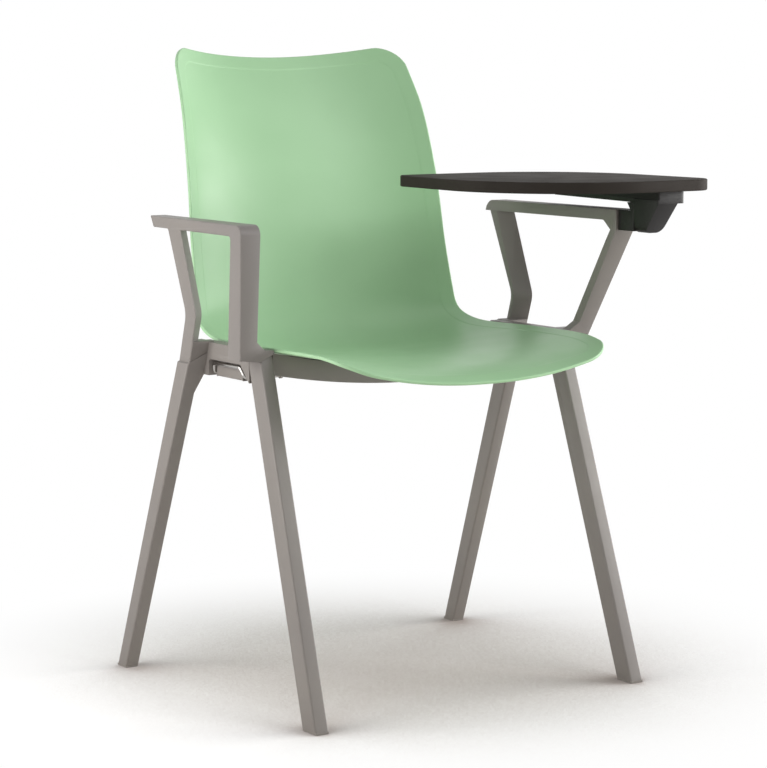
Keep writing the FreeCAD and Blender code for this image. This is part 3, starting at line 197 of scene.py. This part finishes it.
def moulded(name, light, dark, rough, grain_size, grain_depth, specular=0.5):
    """A moulded plastic: slow clouds of tone, varied gloss and a fine grain."""
    finish = Finish(name)
    clouds = finish.spread(finish.noise(5.0, 3.0), 0.0, 1.0)
    finish.feed("Base Color", finish.mix(clouds, linear(light), linear(dark)))
    finish.feed("Roughness", finish.spread(finish.noise(22.0, 4.0), *rough))
    finish.bump(finish.noise(grain_size, 2.0), 0.35, grain_depth)
    finish.shader.inputs["Specular IOR Level"].default_value = specular
    return finish


print("a mid grey in linear values:", round(linear("808080")[0], 4))


# %% [markdown]
# ## The plastics
# The shell is satin polypropylene, a little glossy. The frames are a coarser glass-filled
# plastic, nearly matt. The tablet is a dark laminate board, and the hinge is black.

# %% Plastic finishes
shell_plastic = moulded("shell_plastic", "A6CEA3", "9FC89C", (0.38, 0.48), 1500.0, 0.00012,
                         0.35)
shell_plastic.shader.inputs["Coat Weight"].default_value = 0.06
shell_plastic.shader.inputs["Coat Roughness"].default_value = 0.3
frame_plastic = moulded("frame_plastic", "7E7974", "787370", (0.40, 0.52), 1900.0, 0.0002, 0.5)
glide_plastic = moulded("glide_plastic", "85807B", "7E7974", (0.55, 0.7), 1700.0, 0.0002, 0.4)
black_plastic = moulded("black_plastic", "1D1A19", "181615", (0.42, 0.58), 1800.0, 0.0002, 0.3)
tablet_board = moulded("tablet_board", "312C28", "2C2824", (0.62, 0.74), 1300.0, 0.00012, 0.12)
print("plastic finishes: 5")

# %% [markdown]
# ## The metals
# The hook is bright chrome, which mirrors its surroundings and needs only a slight
# unevenness. The pin is ground steel with fine turned rings, the screws are zinc-plated.

# %% Metal finishes
def metal(name, light, dark, rough, stretch, depth):
    """A metal: small changes of tone and gloss, and fine tool marks."""
    finish = Finish(name)
    finish.shader.inputs["Metallic"].default_value = 1.0
    marks = finish.noise(420.0, 3.0, stretch)
    finish.feed("Base Color", finish.mix(marks, linear(light), linear(dark)))
    finish.feed("Roughness", finish.spread(marks, *rough))
    finish.bump(marks, 0.2, depth)
    return finish


chromed_wire = metal("chromed_wire", "B9B6B2", "A6A39F", (0.1, 0.2), (1, 1, 1), 0.00002)
pin_steel = metal("pin_steel", "B5B3AE", "A09E99", (0.22, 0.34), (0.2, 8, 8), 0.00004)
zinc_steel = metal("zinc_steel", "A9A7A0", "8F8D87", (0.3, 0.48), (1, 1, 1), 0.00006)
FINISHES = {
    "shell_plastic": shell_plastic,
    "frame_plastic": frame_plastic,
    "glide_plastic": glide_plastic,
    "black_plastic": black_plastic,
    "tablet_board": tablet_board,
    "chromed_wire": chromed_wire,
    "pin_steel": pin_steel,
    "zinc_steel": zinc_steel,
}
slot_of = {row["node"]: row["material_slot"] for row in frame["record"]["subparts"]}
for name, node in frame["nodes"].items():
    node.data.materials.clear()
    node.data.materials.append(FINISHES[slot_of[name]].material)
print("finishes on", len(slot_of), "nodes")

# %% [markdown]
# ## The shell as one surface
# The shell is the hardest form of the chair: a seat and a back in one double-curved
# sheet. It is drawn as a centre line and two rims. Between them each cross line follows
# a power curve, flat in the middle and rising to the rims. Smooth cubic curves run
# through a few stations from the front lip to the top edge.

# %% Stations of the shell
SEAT_HALF = 0.226
SEAT_REACH = 0.251
BACK_REACH = 0.303
SEAT_LOW = 0.445
BACK_RISE = 0.408
RIM_RISE = 0.025
SHELL_WALL = 0.0046
# Shares: centre y, centre z, rim x, rim y, rim z.
STATION_shares = (
    (-1.006, -0.042, 0.880, -0.996, 0.30),
    (-0.940, -0.021, 0.916, -0.905, 0.62),
    (-0.840, -0.004, 0.942, -0.790, 0.88),
    (-0.660, 0.005, 0.973, -0.620, 1.02),
    (-0.400, 0.005, 0.996, -0.380, 1.02),
    (-0.120, 0.000, 1.000, -0.160, 1.00),
    (0.100, -0.008, 0.992, 0.026, 0.97),
    (0.248, -0.009, 0.978, 0.149, 0.95),
    (0.370, 0.002, 0.965, 0.246, 0.98),
    (0.475, 0.034, 0.952, 0.336, 1.14),
    (0.556, 0.088, 0.940, 0.416, 1.56),
    (0.616, 0.180, 0.930, 0.455, 2.62),
    (0.670, 0.340, 0.916, 0.508, 5.36),
    (0.728, 0.502, 0.902, 0.545, 8.12),
    (0.775, 0.625, 0.889, 0.581, 10.16),
    (0.848, 0.767, 0.868, 0.643, 12.72),
    (0.936, 0.900, 0.843, 0.719, 14.64),
    (1.012, 0.998, 0.812, 0.812, 16.72),
)
FLATNESS = (2.4, 2.5)


def reach(share):
    return share * (SEAT_REACH if share < 0 else BACK_REACH)


stations = np.array([
    (reach(row[0]), SEAT_LOW + row[1] * BACK_RISE,
     row[2] * SEAT_HALF, reach(row[3]), SEAT_LOW + row[4] * RIM_RISE)
    for row in STATION_shares
])
runs = np.hypot(np.diff(stations[:, 0]), np.diff(stations[:, 1]))
places = np.concatenate([[0.0], np.cumsum(runs)]) / runs.sum()
print("stations:", len(stations), "centre line in m:", round(float(runs.sum()), 3))


# %% A smooth curve through the stations
def cubic_through(at, values):
    """A natural cubic spline; returns a function of an array of places."""
    steps = np.diff(at)[:, None]
    count = len(at)
    system = np.eye(count)
    right = np.zeros_like(values)
    slopes = np.diff(values, axis=0) / steps
    for index in range(1, count - 1):
        before, after = steps[index - 1, 0], steps[index, 0]
        system[index, index - 1:index + 2] = (before, 2 * (before + after), after)
        right[index] = 6 * (slopes[index] - slopes[index - 1])
    bends = np.linalg.solve(system, right)

    def value(place):
        cell = np.clip(np.searchsorted(at, place) - 1, 0, count - 2)
        step = steps[cell]
        low = (at[cell + 1] - place)[:, None] / step
        high = 1 - low
        curve = low * values[cell] + high * values[cell + 1]
        lift = (low ** 3 - low) * bends[cell] + (high ** 3 - high) * bends[cell + 1]
        return curve + lift * step ** 2 / 6

    return value


stations_at = cubic_through(places, stations)
print("half width in the middle:", round(float(stations_at(np.array([0.5]))[0, 2]), 4))


def sheet(along, across):
    """Points of the sitting side; along 0 ... 1, across -1 ... 1."""
    row = stations_at(np.clip(along, 0, 1))
    power = FLATNESS[0] + (FLATNESS[1] - FLATNESS[0]) * along
    rise = np.abs(across) ** power
    return np.stack([
        row[:, 2] * across,
        row[:, 0] + (row[:, 3] - row[:, 0]) * rise,
        row[:, 1] + (row[:, 4] - row[:, 1]) * rise,
    ], axis=1)


SMALL = 1e-4


def slopes_of(along, across):
    """The sheet's two slopes and its unit normal, which points into the wall."""
    ahead = np.minimum(along + SMALL, 1)
    behind = np.maximum(along - SMALL, 0)
    by_along = (sheet(ahead, across) - sheet(behind, across)) / (ahead - behind)[:, None]
    by_across = (sheet(along, across + SMALL) - sheet(along, across - SMALL)) / (2 * SMALL)
    normal = np.cross(by_along, by_across)
    normal /= np.linalg.norm(normal, axis=1)[:, None]
    return by_along, by_across, normal


# %% [markdown]
# ## The shell's outline
# The sheet is trimmed like the real moulding: a bowed top edge with round corners seen
# from the front, and a bowed front lip with rounder corners seen from above. The sides
# are the rims themselves. Each outline point is found on the sheet by halving.

# %% Outline of the shell
TOP_TALL = SEAT_LOW + BACK_RISE
TOP_DIP = 0.0135
TOP_CORNER = 0.033
LIP_AHEAD = 0.243
LIP_BULGE = 0.007
LIP_CORNER = 0.054
HALVINGS = 40


def find_along(low, high, across_x, axis, target):
    """Where along the sheet the line at x = across_x passes target on one axis."""
    low = np.full_like(across_x, low)
    high = np.full_like(across_x, high)
    for _ in range(HALVINGS):
        middle = (low + high) / 2
        across = np.clip(across_x / stations_at(middle)[:, 2], -1, 1)
        below = sheet(middle, across)[:, axis] < target
        low = np.where(below, middle, low)
        high = np.where(below, high, middle)
    return middle, across


def rim_where(low, high, column, target):
    """Where along the rim a station column passes target."""
    for _ in range(HALVINGS):
        middle = (low + high) / 2
        if stations_at(np.array([middle]))[0, column] < target:
            low = middle
        else:
            high = middle
    return middle


def bowed(x, half, end, bulge):
    """A shallow arc from -half to half at height end, bulge higher in its middle."""
    radius = (half ** 2 + bulge ** 2) / (2 * abs(bulge))
    return end + math.copysign(1, bulge) * (abs(bulge) - radius + np.sqrt(radius ** 2 - x ** 2))


FINE = 400
middle_share = np.linspace(0, 1, FINE)
rim_top = rim_where(0.7, 1.0, 4, TOP_TALL - TOP_CORNER)
rim_lip = rim_where(0.0, 0.3, 3, -LIP_AHEAD + LIP_CORNER)
top_half = stations_at(np.array([rim_top]))[0, 2]
lip_half = stations_at(np.array([rim_lip]))[0, 2]
quarter = np.linspace(0, math.pi / 2, FINE)

lip_inner = lip_half - LIP_CORNER
lip_x = np.concatenate([
    middle_share * lip_inner, (lip_inner + LIP_CORNER * np.sin(quarter))[1:]])
lip_y = np.concatenate([
    bowed(middle_share * lip_inner, lip_inner, -LIP_AHEAD, -LIP_BULGE),
    (-LIP_AHEAD + LIP_CORNER - LIP_CORNER * np.cos(quarter))[1:]])
top_inner = top_half - TOP_CORNER
top_x = np.concatenate([
    middle_share * top_inner, (top_inner + TOP_CORNER * np.sin(quarter))[1:]])
top_z = np.concatenate([
    bowed(middle_share * top_inner, top_inner, TOP_TALL, -TOP_DIP),
    (TOP_TALL - TOP_CORNER + TOP_CORNER * np.cos(quarter))[1:]])
lip_along, lip_across = find_along(0.0, 0.35, lip_x, 1, lip_y)
top_along, top_across = find_along(0.6, 1.0, top_x, 2, top_z)
side_along = np.linspace(rim_lip, rim_top, 4 * FINE)[1:-1]
half_outline = np.stack([
    np.concatenate([lip_along, side_along, top_along[::-1]]),
    np.concatenate([lip_across, np.ones_like(side_along), top_across[::-1]]),
], axis=1)
print("outline points on one half:", len(half_outline))

# %% [markdown]
# ## Even rings round the shell
# The wall has a rounded rim and, about 20 mm inside it, a shallow step that frames the
# sitting side. Both follow the outline, so the mesh does too: rings march inward from
# the outline over the sheet, and a patch of squares fills what is left inside them.

# %% Divide the outline evenly
CELLS_ACROSS = 72
CELLS_ALONG = 112


def even(outline, count):
    """The outline divided into count equal runs, measured on the sheet itself."""
    points = sheet(outline[:, 0], outline[:, 1])
    distance = np.concatenate([[0], np.cumsum(np.linalg.norm(np.diff(points, axis=0), axis=1))])
    wanted = np.linspace(0, distance[-1], count + 1)
    return np.stack([np.interp(wanted, distance, outline[:, axis]) for axis in (0, 1)], axis=1)


lip_turn = FINE + FINE // 2
top_turn = len(half_outline) - FINE - FINE // 2
lip_half_run = even(half_outline[:lip_turn], CELLS_ACROSS // 2)
side_run = even(half_outline[lip_turn - 1:top_turn], CELLS_ALONG)
top_half_run = even(half_outline[top_turn - 1:], CELLS_ACROSS // 2)
right_half = np.concatenate([lip_half_run, side_run[1:], top_half_run[1:]])
left_half = right_half[::-1][1:-1] * (1, -1)
ring = np.concatenate([right_half, left_half])
print("points on a ring:", len(ring))


# %% March inward
def march(points, distance):
    """Move a closed ring of sheet places inward by a distance measured on the sheet."""
    place = sheet(points[:, 0], points[:, 1])
    along_ring = np.roll(place, -1, axis=0) - np.roll(place, 1, axis=0)
    by_along, by_across, normal = slopes_of(points[:, 0], points[:, 1])
    inward = np.cross(along_ring, normal)
    inward /= np.linalg.norm(inward, axis=1)[:, None]
    inward *= distance
    along_along = (by_along ** 2).sum(1)
    across_across = (by_across ** 2).sum(1)
    mixed = (by_along * by_across).sum(1)
    first = (inward * by_along).sum(1)
    second = (inward * by_across).sum(1)
    determinant = along_along * across_across - mixed ** 2
    return points + np.stack([
        (first * across_across - second * mixed) / determinant,
        (second * along_along - first * mixed) / determinant,
    ], axis=1)


RIM_PROFILE = (
    # Distance from the outline and depth below the sitting side, in mm.
    (0.0, 2.3), (0.0, 1.7), (0.12, 1.0), (0.5, 0.42), (1.1, 0.1), (1.9, 0.0),
    (4.0, 0.0), (7.0, 0.0), (10.5, 0.0), (14.0, 0.0), (17.5, 0.0), (19.6, 0.02),
    (20.3, 0.12), (21.0, 0.38), (21.7, 0.50), (22.8, 0.52), (24.4, 0.52),
)
UNDER_PROFILE = ((0.0, 2.9), (0.12, 3.6), (0.5, 4.18), (1.1, 4.5), (1.9, 4.6))
MM = 0.001
MARCH_STEPS = 2

rings = [ring]
for gap in np.diff([distance for distance, depth in RIM_PROFILE]) * MM:
    current = rings[-1]
    if gap > 0:
        for _ in range(MARCH_STEPS):
            current = march(current, gap / MARCH_STEPS)
    rings.append(current)
print("rings:", len(rings))


# %% Fill the inside
def coons(boundary):
    """Sheet places of a patch of squares inside a closed ring."""
    half = CELLS_ACROSS // 2
    rolled = np.roll(boundary, half, axis=0)
    lip = rolled[:CELLS_ACROSS + 1]
    right = rolled[CELLS_ACROSS:CELLS_ACROSS + CELLS_ALONG + 1]
    top = rolled[CELLS_ACROSS + CELLS_ALONG:2 * CELLS_ACROSS + CELLS_ALONG + 1][::-1]
    left = np.concatenate([rolled[2 * CELLS_ACROSS + CELLS_ALONG:], rolled[:1]])[::-1]
    s = np.linspace(0, 1, CELLS_ACROSS + 1)[None, :, None]
    t = np.linspace(0, 1, CELLS_ALONG + 1)[:, None, None]
    ruled_along = (1 - t) * lip[None] + t * top[None]
    ruled_across = (1 - s) * left[:, None] + s * right[:, None]
    corners = ((1 - s) * (1 - t) * lip[0] + s * (1 - t) * lip[-1]
               + (1 - s) * t * top[0] + s * t * top[-1])
    return ruled_along + ruled_across - corners


patch = coons(rings[-1])
print("patch:", patch.shape[:2])

# %% [markdown]
# ## Build the shell's mesh
# The rings and the patch are used twice: once on the sitting side and once a wall's
# thickness below it, joined round the rim.

# %% Shell mesh
def lifted(points, depth):
    """Sheet places as points of the frame, some depth below the sitting side."""
    flat = points.reshape(-1, 2)
    normal = slopes_of(flat[:, 0], flat[:, 1])[2]
    return sheet(flat[:, 0], flat[:, 1]) + normal * depth + np.array(ORIGIN)


def ring_faces(first, second, count):
    return [
        (first + index, first + (index + 1) % count,
         second + (index + 1) % count, second + index)
        for index in range(count)
    ]


def side_mesh(profile, ring_list, start):
    """Vertices and faces of one side, from the rim's middle to the patch."""
    vertices = []
    faces = []
    count = len(ring)
    for (distance, depth), places_now in zip(profile, ring_list):
        vertices.append(lifted(places_now, depth * MM))
    for index in range(len(profile) - 1):
        faces += ring_faces(start + index * count, start + (index + 1) * count, count)
    depth = profile[-1][1] * MM
    inner = lifted(patch[1:-1, 1:-1], depth)
    base = start + len(profile) * count
    last = start + (len(profile) - 1) * count
    half = CELLS_ACROSS // 2

    def corner(row, column):
        """Number of the patch's vertex; its border is the innermost ring."""
        if 0 < row < CELLS_ALONG and 0 < column < CELLS_ACROSS:
            return base + (row - 1) * (CELLS_ACROSS - 1) + column - 1
        if row == 0:
            step = column
        elif column == CELLS_ACROSS:
            step = CELLS_ACROSS + row
        elif row == CELLS_ALONG:
            step = CELLS_ACROSS + CELLS_ALONG + (CELLS_ACROSS - column)
        else:
            step = 2 * CELLS_ACROSS + CELLS_ALONG + (CELLS_ALONG - row)
        return last + (step - half) % count

    for row in range(CELLS_ALONG):
        for column in range(CELLS_ACROSS):
            faces.append((corner(row, column), corner(row, column + 1),
                          corner(row + 1, column + 1), corner(row + 1, column)))
    vertices.append(inner)
    return np.concatenate(vertices), faces


upper, upper_faces = side_mesh(RIM_PROFILE, rings, 0)
under_rings = [rings[0]] + rings[2:]
under_profile = UNDER_PROFILE + tuple(
    (distance, UNDER_PROFILE[-1][1]) for distance, depth in RIM_PROFILE[6:])
lower, lower_faces = side_mesh(under_profile, under_rings, len(upper))
joint = ring_faces(0, len(upper), len(ring))


def make_piece(name, vertices, faces, finish):
    """A smooth mesh object whose faces point outward."""
    mesh = bpy.data.meshes.new(name)
    mesh.from_pydata([tuple(point) for point in vertices], [], faces)
    shape = bmesh.new()
    shape.from_mesh(mesh)
    bmesh.ops.recalc_face_normals(shape, faces=shape.faces)
    shape.to_mesh(mesh)
    shape.free()
    mesh.shade_smooth()
    mesh.materials.append(finish.material)
    piece = bpy.data.objects.new(name, mesh)
    bpy.context.scene.collection.objects.link(piece)
    return piece


moulded_shell = make_piece("moulded_shell", np.concatenate([upper, lower]),
                           upper_faces + lower_faces + joint, shell_plastic)
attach(moulded_shell, "chair")
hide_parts("seat_shell")
print("shell faces:", len(moulded_shell.data.polygons))

# %% [markdown]
# ## The shell's bosses
# Four round bosses below the seat carry it on the cross beams. They repeat, so one
# Geometry Nodes tree sets a turned boss on every point of a small mesh of four points.

# %% Bosses by Geometry Nodes
BOSS_SIDE = 0.110
BOSS_RADIUS = 0.009
BOSS_SIDES = 48
BESIDE_HOLE = 0.007
REAR_BEAM_MIDDLE = 0.0645
SEAT_END = 0.6
SHARP_ANGLE = math.radians(40)


def beam_height(node_name, place):
    """Top of a beam beside the screw hole at a place, found by a ray from above."""
    hit, where, normal, index = frame["nodes"][node_name].ray_cast(
        Vector((place.x + BESIDE_HOLE, place.y, 1.0)), Vector((0, 0, -1)))
    return where.z if hit else place.z


def boss_tree():
    """A tree that puts a short cylinder on each point of its input."""
    tree = bpy.data.node_groups.new("bosses", "GeometryNodeTree")
    socket = tree.interface.new_socket
    socket("Geometry", in_out="INPUT", socket_type="NodeSocketGeometry")
    socket("Radius", in_out="INPUT", socket_type="NodeSocketFloat")
    socket("Height", in_out="INPUT", socket_type="NodeSocketFloat")
    socket("Finish", in_out="INPUT", socket_type="NodeSocketMaterial")
    socket("Geometry", in_out="OUTPUT", socket_type="NodeSocketGeometry")
    add = tree.nodes.new
    link = tree.links.new
    entry = add("NodeGroupInput")
    exit_node = add("NodeGroupOutput")
    cylinder = add("GeometryNodeMeshCylinder")
    cylinder.inputs["Vertices"].default_value = BOSS_SIDES
    lift = add("ShaderNodeCombineXYZ")
    half = add("ShaderNodeMath")
    half.operation = "DIVIDE"
    half.inputs[1].default_value = 2.0
    raise_up = add("GeometryNodeTransform")
    instances = add("GeometryNodeInstanceOnPoints")
    realize = add("GeometryNodeRealizeInstances")
    dress = add("GeometryNodeSetMaterial")
    link(entry.outputs["Radius"], cylinder.inputs["Radius"])
    link(entry.outputs["Height"], cylinder.inputs["Depth"])
    link(entry.outputs["Height"], half.inputs[0])
    link(half.outputs[0], lift.inputs["Z"])
    link(cylinder.outputs["Mesh"], raise_up.inputs["Geometry"])
    link(lift.outputs[0], raise_up.inputs["Translation"])
    link(entry.outputs["Geometry"], instances.inputs["Points"])
    link(raise_up.outputs["Geometry"], instances.inputs["Instance"])
    link(instances.outputs["Instances"], realize.inputs["Geometry"])
    link(realize.outputs["Geometry"], dress.inputs["Geometry"])
    link(entry.outputs["Finish"], dress.inputs["Material"])
    link(dress.outputs["Geometry"], exit_node.inputs["Geometry"])
    return tree


boss_points = []
boss_heights = []
for beam, y in (("front_beam", -BEAM_MIDDLE_AHEAD), ("rear_beam", REAR_BEAM_MIDDLE)):
    along, across = find_along(0.0, SEAT_END, np.array([BOSS_SIDE]), 1, np.array([y]))
    wall_middle = sheet(along, across)[0, 2] - SHELL_WALL / 2
    for side in (-1, 1):
        place = from_drawing(side * BOSS_SIDE, y, SEAT_LOW)
        place.z = beam_height(beam, place)
        boss_points.append(tuple(place))
        boss_heights.append(wall_middle - place.z)
print("boss feet:", [round(point[2], 4) for point in boss_points])
print("boss heights:", [round(height, 4) for height in boss_heights])

# %% Run the boss tree
mesh = bpy.data.meshes.new("seat_bosses")
mesh.from_pydata(boss_points, [], [])
seat_bosses = bpy.data.objects.new("seat_bosses", mesh)
bpy.context.scene.collection.objects.link(seat_bosses)
modifier = seat_bosses.modifiers.new("bosses", "NODES")
modifier.node_group = boss_tree()
identifiers = {
    item.name: item.identifier
    for item in modifier.node_group.interface.items_tree if item.in_out == "INPUT"
}
modifier[identifiers["Radius"]] = BOSS_RADIUS
modifier[identifiers["Height"]] = min(boss_heights)
modifier[identifiers["Finish"]] = shell_plastic.material
graph = bpy.context.evaluated_depsgraph_get()
plain = bpy.data.meshes.new_from_object(seat_bosses.evaluated_get(graph))
seat_bosses.modifiers.clear()
seat_bosses.data = plain
plain.set_sharp_from_angle(angle=SHARP_ANGLE)
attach(seat_bosses, "chair")
print("boss faces:", len(plain.polygons))

# %% [markdown]
# ## Crisp but softened edges on the frames
# Moulded parts never have razor edges: each one has a small round that catches a thin
# line of light. The frames, arms and hinge come from CAD as flat facets, so copies of
# them are merged and get a narrow bevel, and the copies stand for the CAD pieces.

# %% Softened copies
MERGE = 2e-6
FLAT_ANGLE = math.radians(0.6)
EDGE_ANGLE = math.radians(28)


def softened(node_name, width, segments=3):
    """A merged copy of a CAD node with rounded edges, which replaces the node."""
    source = frame["nodes"][node_name]
    mesh = source.data.copy()
    shape = bmesh.new()
    shape.from_mesh(mesh)
    bmesh.ops.remove_doubles(shape, verts=shape.verts, dist=MERGE)
    bmesh.ops.dissolve_limit(
        shape, angle_limit=FLAT_ANGLE, verts=shape.verts, edges=shape.edges)
    shape.to_mesh(mesh)
    shape.free()
    piece = bpy.data.objects.new(node_name + "_softened", mesh)
    bpy.context.scene.collection.objects.link(piece)
    bevel = piece.modifiers.new("edge_round", "BEVEL")
    bevel.width = width
    bevel.segments = segments
    bevel.limit_method = "ANGLE"
    bevel.angle_limit = EDGE_ANGLE
    bevel.miter_outer = "MITER_ARC"
    bevel.use_clamp_overlap = True
    graph = bpy.context.evaluated_depsgraph_get()
    done = bpy.data.meshes.new_from_object(piece.evaluated_get(graph))
    piece.modifiers.clear()
    piece.data = done
    done.name = piece.name
    done.shade_smooth()
    done.set_sharp_from_angle(angle=SHARP_ANGLE)
    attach(piece, source["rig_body"])
    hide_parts(node_name)
    return piece


ROUNDS = (
    ("side_frame_left", 0.0012), ("side_frame_right", 0.0012),
    ("arm_left", 0.0018), ("arm_right", 0.0018),
    ("front_beam", 0.0008), ("rear_beam", 0.0008),
    ("tablet_top", 0.0006), ("tablet_carrier", 0.0012), ("hinge_bracket", 0.001),
)
for name, width in ROUNDS:
    piece = softened(name, width)
    print(piece.name, "faces:", len(piece.data.polygons))

# %% [markdown]
# ## Raised pads in the link recesses
# The recess of each rail has a raised floor, on the right one between the two wire
# legs. It covers the holes of the arm screws, which the plain recess of the CAD part
# lays half open.

# %% Recess pads
PAD_BACK = 0.2355
PAD_FACE = 0.2402
PAD_HALF = 0.0335
PAD_LOW = 0.4242
PAD_HIGH = 0.446
PAD_ROUND = 0.0008


def recess_pad(name, side):
    """A box with rounded edges on the floor of one rail's recess."""
    first = from_drawing(side * PAD_BACK, -PAD_HALF, PAD_LOW)
    second = from_drawing(side * PAD_FACE, PAD_HALF, PAD_HIGH)
    shape = bmesh.new()
    bmesh.ops.create_cube(shape, size=1.0)
    for vertex in shape.verts:
        vertex.co = Vector(
            far if share > 0 else near
            for near, far, share in zip(first, second, vertex.co))
    bmesh.ops.bevel(shape, geom=shape.edges[:], offset=PAD_ROUND, segments=2,
                    profile=0.5, affect="EDGES")
    bmesh.ops.recalc_face_normals(shape, faces=shape.faces)
    mesh = bpy.data.meshes.new(name)
    shape.to_mesh(mesh)
    shape.free()
    mesh.materials.append(frame_plastic.material)
    pad = bpy.data.objects.new(name, mesh)
    bpy.context.scene.collection.objects.link(pad)
    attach(pad, "chair")
    return pad


for name, side in (("recess_pad_left", 1), ("recess_pad_right", -1)):
    pad = recess_pad(name, side)
    print(pad.name, "faces:", len(pad.data.polygons))

# %% [markdown]
# ## Floor and background
# The photograph has a white sweep with a soft warm shadow under the chair. The floor is
# a wide pale plane. For the camera and for mirrors only, its colour holds a painted
# shadow, darker in the hollow under the chair where ambient occlusion is low, and
# further out it fades to the same white as the world behind it.

# %% Floor
FLOOR_HALF = 14.0
# Reach and range of the ambient occlusion that paints the shadow under the chair.
PAINTED_SHADOW_REACH = 1.2
PAINTED_SHADOW_RANGE = (0.6, 0.96)
FADE_RANGE = (0.22, 0.72)
OPEN_FLOOR = (1.15, 1.15, 1.15, 1.0)
mesh = bpy.data.meshes.new("floor")
mesh.from_pydata([
    (-FLOOR_HALF, -FLOOR_HALF, 0), (FLOOR_HALF, -FLOOR_HALF, 0),
    (FLOOR_HALF, FLOOR_HALF, 0), (-FLOOR_HALF, FLOOR_HALF, 0),
], [], [(0, 1, 2, 3)])
floor = bpy.data.objects.new("floor", mesh)
bpy.context.scene.collection.objects.link(floor)


def seen_ray(finish):
    """A factor that is one for what the camera, mirrors and glass see."""
    path = finish.add("ShaderNodeLightPath")
    first = finish.add("ShaderNodeMath", operation="MAXIMUM")
    second = finish.add("ShaderNodeMath", operation="MAXIMUM")
    finish.links.new(path.outputs["Is Camera Ray"], first.inputs[0])
    finish.links.new(path.outputs["Is Glossy Ray"], first.inputs[1])
    finish.links.new(first.outputs[0], second.inputs[0])
    finish.links.new(path.outputs["Is Transmission Ray"], second.inputs[1])
    return second.outputs[0]


pale_floor = Finish("pale_floor")
seen_now = seen_ray(pale_floor)
# Painted shadow: ambient occlusion under the chair darkens the floor's colour for seen rays.
painted_shadow_ao = pale_floor.add("ShaderNodeAmbientOcclusion")
painted_shadow_ao.samples = 12
painted_shadow_ao.inputs["Distance"].default_value = PAINTED_SHADOW_REACH
depth = pale_floor.add("ShaderNodeMapRange", interpolation_type="SMOOTHSTEP")
depth.inputs["From Min"].default_value = PAINTED_SHADOW_RANGE[0]
depth.inputs["From Max"].default_value = PAINTED_SHADOW_RANGE[1]
pale_floor.links.new(painted_shadow_ao.outputs["AO"], depth.inputs["Value"])
# The painted shadow's colour, A3958E, is mixed in where the occlusion is deepest.
shaded = pale_floor.mix(depth.outputs["Result"], linear("A3958E"), OPEN_FLOOR)
pale_floor.feed("Base Color", pale_floor.mix(seen_now, linear("F2ECE6"), shaded))
pale_floor.shader.inputs["Roughness"].default_value = 0.9
pale_floor.shader.inputs["Specular IOR Level"].default_value = 0.1
white = pale_floor.add("ShaderNodeEmission")
white.inputs["Color"].default_value = (1.0, 1.0, 1.0, 1.0)
length = pale_floor.add("ShaderNodeVectorMath", operation="LENGTH")
pale_floor.links.new(pale_floor.where, length.inputs[0])
fade = pale_floor.add("ShaderNodeMapRange", interpolation_type="SMOOTHSTEP")
fade.inputs["From Min"].default_value = FADE_RANGE[0]
fade.inputs["From Max"].default_value = FADE_RANGE[1]
fade.inputs["To Min"].default_value = 0.0
pale_floor.links.new(length.outputs["Value"], fade.inputs["Value"])
both = pale_floor.add("ShaderNodeMath", operation="MULTIPLY")
pale_floor.links.new(fade.outputs["Result"], both.inputs[0])
pale_floor.links.new(seen_now, both.inputs[1])
blend = pale_floor.add("ShaderNodeMixShader")
pale_floor.links.new(both.outputs[0], blend.inputs[0])
pale_floor.links.new(pale_floor.shader.outputs[0], blend.inputs[1])
pale_floor.links.new(white.outputs[0], blend.inputs[2])
pale_floor.links.new(blend.outputs[0], pale_floor.nodes["Material Output"].inputs["Surface"])
floor.data.materials.append(pale_floor.material)
print("floor finish:", pale_floor.material.name)

# %% [markdown]
# ## Light
# A large soft lamp on the right reaches into the hollow of the back, whose left part is
# the palest. A small one close by on the left lights the frames' outer faces and leaves
# the far legs darker. A third, high in front, lights what leans back, and a weak one
# hangs overhead.

# %% Lamps and world
def area_lamp(name, place, target, size, power, colour):
    data = bpy.data.lights.new(name, "AREA")
    data.shape = "RECTANGLE"
    data.size, data.size_y = size
    data.energy = power
    data.color = colour
    lamp = bpy.data.objects.new(name, data)
    lamp.location = place
    lamp.visible_camera = False
    lamp.rotation_euler = (Vector(target) - Vector(place)).to_track_quat("-Z", "Y").to_euler()
    bpy.context.scene.collection.objects.link(lamp)
    return lamp


MIDDLE = (0.0, 0.0, 0.5)
LAMPS = (
    # Name, place, size, power and colour.
    ("left_lamp", (-1.15, 0.1, 0.65), (0.9, 1.0), 11, (1.0, 0.985, 0.97)),
    ("right_lamp", (2.7, -1.2, 0.9), (2.2, 1.4), 86, (1.0, 0.995, 0.985)),
    ("front_lamp", (0.8, -2.3, 2.3), (1.6, 1.4), 27, (0.98, 0.99, 1.0)),
    ("top_lamp", (0.0, 0.0, 3.0), (2.4, 2.4), 4, (1.0, 1.0, 1.0)),
)
for name, place, size, power, colour in LAMPS:
    area_lamp(name, place, MIDDLE, size, power, colour)

world = bpy.data.worlds.new("studio")
bpy.context.scene.world = world
world.use_nodes = True
nodes = world.node_tree.nodes
links = world.node_tree.links
background = nodes["Background"]
background.inputs["Color"].default_value = (1.0, 0.995, 0.985, 1.0)
background.inputs["Strength"].default_value = 0.25
backdrop = nodes.new("ShaderNodeBackground")
backdrop.inputs["Color"].default_value = (1.0, 1.0, 1.0, 1.0)
path = nodes.new("ShaderNodeLightPath")
mixed = nodes.new("ShaderNodeMixShader")
factor = path.outputs["Is Camera Ray"]
for ray in ("Is Glossy Ray", "Is Transmission Ray"):
    seen = nodes.new("ShaderNodeMath")
    seen.operation = "MAXIMUM"
    links.new(factor, seen.inputs[0])
    links.new(path.outputs[ray], seen.inputs[1])
    factor = seen.outputs[0]
links.new(factor, mixed.inputs[0])
links.new(background.outputs[0], mixed.inputs[1])
links.new(backdrop.outputs[0], mixed.inputs[2])
links.new(mixed.outputs[0], nodes["World Output"].inputs["Surface"])
bpy.context.scene.view_settings.view_transform = "Standard"
